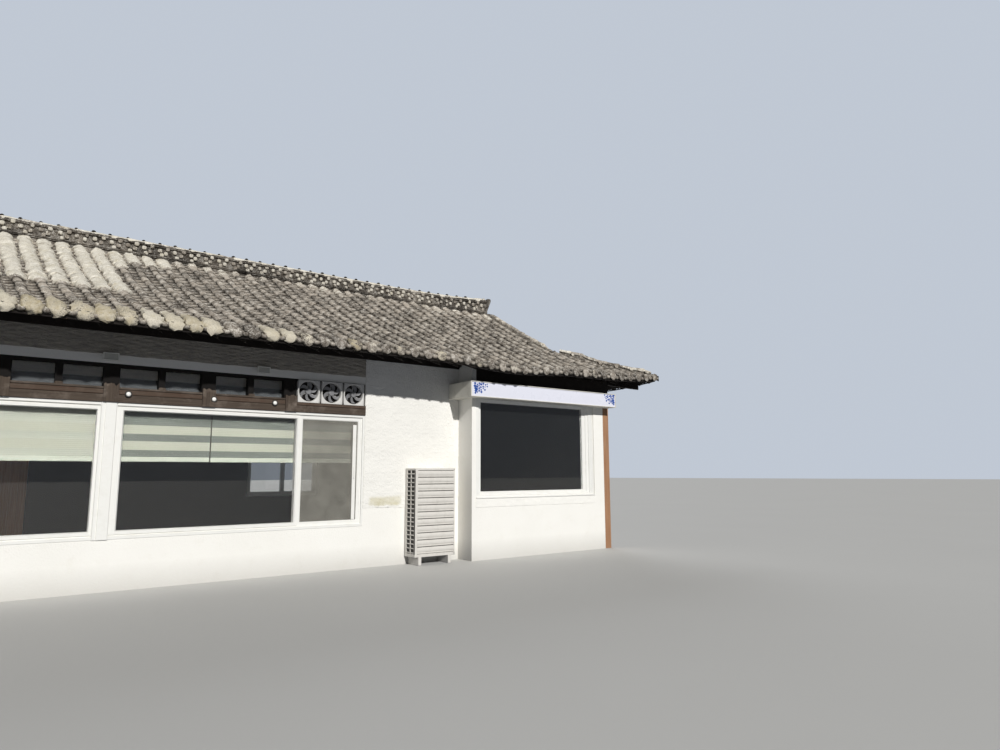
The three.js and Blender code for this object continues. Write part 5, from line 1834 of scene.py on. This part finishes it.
class HANOK_OT_fittings(bpy.types.Operator):
    """Make the outdoor unit, the two floodlights and the rear door"""

    bl_idname = "hanok.fittings"
    bl_label = "Fittings"

    def execute(self, context):
        made = finishes()
        piece("unit_casing", self.casing(), made["unit"], ["outdoor_unit"])
        piece("unit_inside", self.inside(), made["dark_plastic"])
        for label, x in FLOODLIGHT_X.items():
            head, glass = self.floodlight(x)
            node = f"{label}_floodlight"
            piece(f"{label}_floodlight_body", head, made["lamp"], [node])
            piece(f"{label}_floodlight_glass", glass, made["lamp_glass"])
        piece("planked_rear_door", self.door(), made["red"], ["rear_door"])
        return {"FINISHED"}

    def casing(self):
        """The unit's shell: corner posts, top and bottom pans, rounded louvres down the front, and a
        left side pierced by two columns of slots, as bars between them."""
        x0, x1, y0, y1, z0, z1 = UNIT_BOX
        parts = [
            bars([x0, y0, z1 - 0.035], [x1, y1, z1], 0.006),
            bars([x0, y0, z0], [x1, y1, z0 + 0.05], 0.006),
            bars([x1 - 0.02, y0, z0], [x1, y1, z1 - 0.002], 0.004, axis=2),
            bars([x0 + 0.02, y1 - 0.012, z0], [x1, y1, z1 - 0.002], 0.003, axis=2),
        ]
        # Louvres: heights as shares of one louvre's step, and depths in millimetres
        count = sizes().louvre_count
        step = (z1 - 0.035 - z0 - 0.05) / count
        low = z0 + 0.05 + step * np.arange(count)
        height = np.array([0.0, 0.03, 0.14, 0.24, 0.26, 0.32, 0.45, 0.65, 0.85, 0.96, 1.0, 1.0, 0.0])
        depth = np.array([16, 9, 7, 9, 15, 5, 1, 0, 3, 8, 16, 30, 30]) / 1000
        outline = np.stack([y0 + depth, height], -1)
        rings = np.zeros((count, 2, len(outline), 3))
        rings[:, 0, :, 0] = x0 + 0.045
        rings[:, 1, :, 0] = x1 - 0.018
        rings[..., 1] = outline[:, 0]
        rings[..., 2] = low[:, None, None] + step * (0.04 + 0.91 * outline[:, 1])
        parts.append(tubes(rings))
        parts.append(bars([x0, y0, z0 + 0.04], [x0 + 0.05, y0 + 0.035, z1 - 0.03], 0.006, axis=2))
        ribs = [(-2.990, -2.958), (-2.851, -2.831), (-2.724, -2.662)]
        for a, b in ribs:
            parts.append(bars([x0, a, z0 + 0.04], [x0 + 0.012, b, z1 - 0.03], 0.002, axis=2))
        holes = np.arange(z0 + 0.07, z1 - 0.05, 0.0705)
        slats = np.stack([np.full(len(holes), x0), np.full(len(holes), -2.96), holes - 0.008], -1)
        ends = np.stack([np.full(len(holes), x0 + 0.011), np.full(len(holes), -2.72), holes + 0.008], -1)
        parts.append(bars(slats, ends, 0.002, axis=1))
        for x in (x0 + 0.07, x1 - 0.13):
            parts.append(bars([x, y0, 0.0], [x + 0.06, y1 - 0.005, z0 + 0.006], 0.006, axis=1))
        return parts

    def inside(self):
        """The dark coil behind the louvres and the side's slots."""
        return [bars([2.896, -2.972, 0.17], [3.636, -2.674, 1.53], 0.004)]

    def floodlight(self, x):
        """A small floodlight: a ribbed casting on a stirrup, its pane in a raised rim."""
        y, z = WALL_FACE - 0.0003, 3.0
        parts = []

        def add_bar(low, high, bevel, axis=0):
            """A bar between corners given from the lamp's middle on the wall."""
            spot = np.array([x, y, z])
            parts.append(bars(spot + low, spot + high, bevel, axis))

        rim = [(0, -0.070), (0, -0.106), (0.15, -0.110), (0.85, -0.110), (1, -0.106), (1, -0.070)]
        rect = (x - 0.092, x + 0.092, z - 0.055, z + 0.045)
        parts.append(border(rect, (0.011,) * 4, [(share, y + depth) for share, depth in rim]))
        add_bar([-0.089, -0.092, -0.052], [0.089, -0.062, 0.042], 0.006)
        for fin in 0.025 * np.arange(-2, 3):
            add_bar([fin - 0.003, -0.070, -0.03], [fin + 0.003, -0.050, 0.02], 0.001, axis=2)
        add_bar([-0.012, -0.056, 0.022], [0.012, -0.004, 0.034], 0.003, axis=1)
        add_bar([-0.030, -0.008, 0.0], [0.030, -0.0003, 0.060], 0.003, axis=2)
        glass = bars([x - 0.082, y - 0.103, z - 0.045], [x + 0.082, y - 0.090, z + 0.035], 0.002)
        return parts, [glass]

    def door(self):
        """A closed door of upright planks with three ledges, set in its opening."""
        edges = np.linspace(*REAR_DOOR, 8)
        depth, height = (2.567, 2.612), (0.001, 2.1495)
        parts = [bar_row(edges[:-1] + 0.001, edges[1:] - 0.001, depth, height, 0.004, axis=2)]
        for z in (0.25, 1.05, 1.85):
            parts.append(bars([-2.94, 2.608, z], [-2.06, 2.625, z + 0.12], 0.004))
        return parts


# Stage


class HANOK_OT_stage(bpy.types.Operator):
    """Set the pale floor, the soft studio light and the camera at the photograph's angle"""

    bl_idname = "hanok.stage"
    bl_label = "Stage"

    def execute(self, context):
        scene = context.scene
        scene.view_settings.view_transform = "Standard"
        self.floor()
        self.lights(scene)
        camera = bpy.data.cameras.new("camera")
        camera.lens = CAMERA_LENS
        camera.sensor_width = 36.0
        camera.clip_end = 900
        holder = bpy.data.objects.new("camera", camera)
        forward = Vector(CAMERA_FORWARD)
        right = forward.cross(Vector(CAMERA_UP)).normalized()
        up = right.cross(forward).normalized()
        turn = Matrix((right, up, -forward.normalized())).transposed().to_4x4()
        holder.matrix_world = Matrix.Translation(CAMERA_PLACE) @ turn
        scene.collection.objects.link(holder)
        scene.camera = holder
        return {"FINISHED"}

    def floor(self):
        """A plain pale floor, one large square at ground level. The light that it throws up at the
        house is held low, so that the eaves' shade stays deep."""
        half = 160.0
        mesh = bpy.data.meshes.new("studio_floor")
        corners = [(-half, -half, 0), (half, -half, 0), (half, half, 0), (-half, half, 0)]
        mesh.from_pydata(corners, [], [(0, 1, 2, 3)])

        def pale(tree):
            place = add(tree, "place")
            base = add(
                tree,
                "mix",
                add(tree, "noise", place, 1000 / 3000, 2, 0.6),
                linear("C8C7C4"),
                linear("CCCBC8"),
            )
            base = add(tree, "mix", add(tree, "rays")["Is Diffuse Ray"], base, linear("7C8088"))
            return add(tree, "surface", base, 0.9)

        mesh.materials.append(material("studio_floor", pale))
        made = bpy.data.objects.new("studio_floor", mesh)
        bpy.context.scene.collection.objects.link(made)

    def lights(self, scene):
        """A key light from the front, a broad weak fill from behind, and a pale surround that the
        camera sees brightest, gloss less so and the walls least. A lamp is its name, strength,
        spread in degrees, colour and way."""
        warm, cool = (1.0, 0.988, 0.963), (0.93, 0.96, 1.0)
        lamps = (
            ("key", 3.35, 1.5, warm, (0.13, 0.85, -0.435)),
            ("fill", 0.9, 30.0, cool, (-0.35, -0.80, -0.50)),
        )
        for name, energy, spread, tint, way in lamps:
            lamp = bpy.data.lights.new(name, "SUN")
            lamp.energy = energy
            lamp.angle = math.radians(spread)
            lamp.color = tint
            holder = bpy.data.objects.new(name, lamp)
            holder.rotation_euler = Vector(way).to_track_quat("-Z", "Y").to_euler()
            scene.collection.objects.link(holder)
        world = bpy.data.worlds.new("surround")
        world.use_nodes = True
        tree = world.node_tree
        tree.nodes.clear()
        rays = add(tree, "rays")
        seen = add(tree, "product", rays["Is Glossy Ray"], 0.17)
        strength = add(tree, "sum", add(tree, "range", rays["Is Camera Ray"], 0, 1, 0.10, 0.74), seen)
        add(tree, "world", add(tree, "glow", linear("DCE5F2"), strength))
        scene.world = world


class HANOK_PT_panel(bpy.types.Panel):
    """The house's operators in the order that they run"""

    bl_idname = "HANOK_PT_panel"
    bl_label = "Hanok House"
    bl_space_type = "VIEW_3D"
    bl_region_type = "UI"
    bl_category = "Hanok House"

    def draw(self, context):
        for operator in OPERATORS:
            self.layout.operator(operator.bl_idname)


OPERATORS = (
    HANOK_OT_roof,
    HANOK_OT_ridges,
    HANOK_OT_walls,
    HANOK_OT_transom,
    HANOK_OT_windows,
    HANOK_OT_fans,
    HANOK_OT_bay,
    HANOK_OT_fittings,
    HANOK_OT_stage,
)
CLASSES = (HANOK_sizes, HANOK_colours, *OPERATORS, HANOK_PT_panel)


def register():
    for each in CLASSES:
        bpy.utils.register_class(each)
    bpy.types.Scene.hanok_sizes = PointerProperty(type=HANOK_sizes)
    bpy.types.Scene.hanok_colours = PointerProperty(type=HANOK_colours)


def unregister():
    del bpy.types.Scene.hanok_colours
    del bpy.types.Scene.hanok_sizes
    for each in reversed(CLASSES):
        bpy.utils.unregister_class(each)


def main():
    register()
    for operator in OPERATORS:
        group, name = operator.bl_idname.split(".")
        getattr(getattr(bpy.ops, group), name)()


if __name__ == "__main__":
    main()
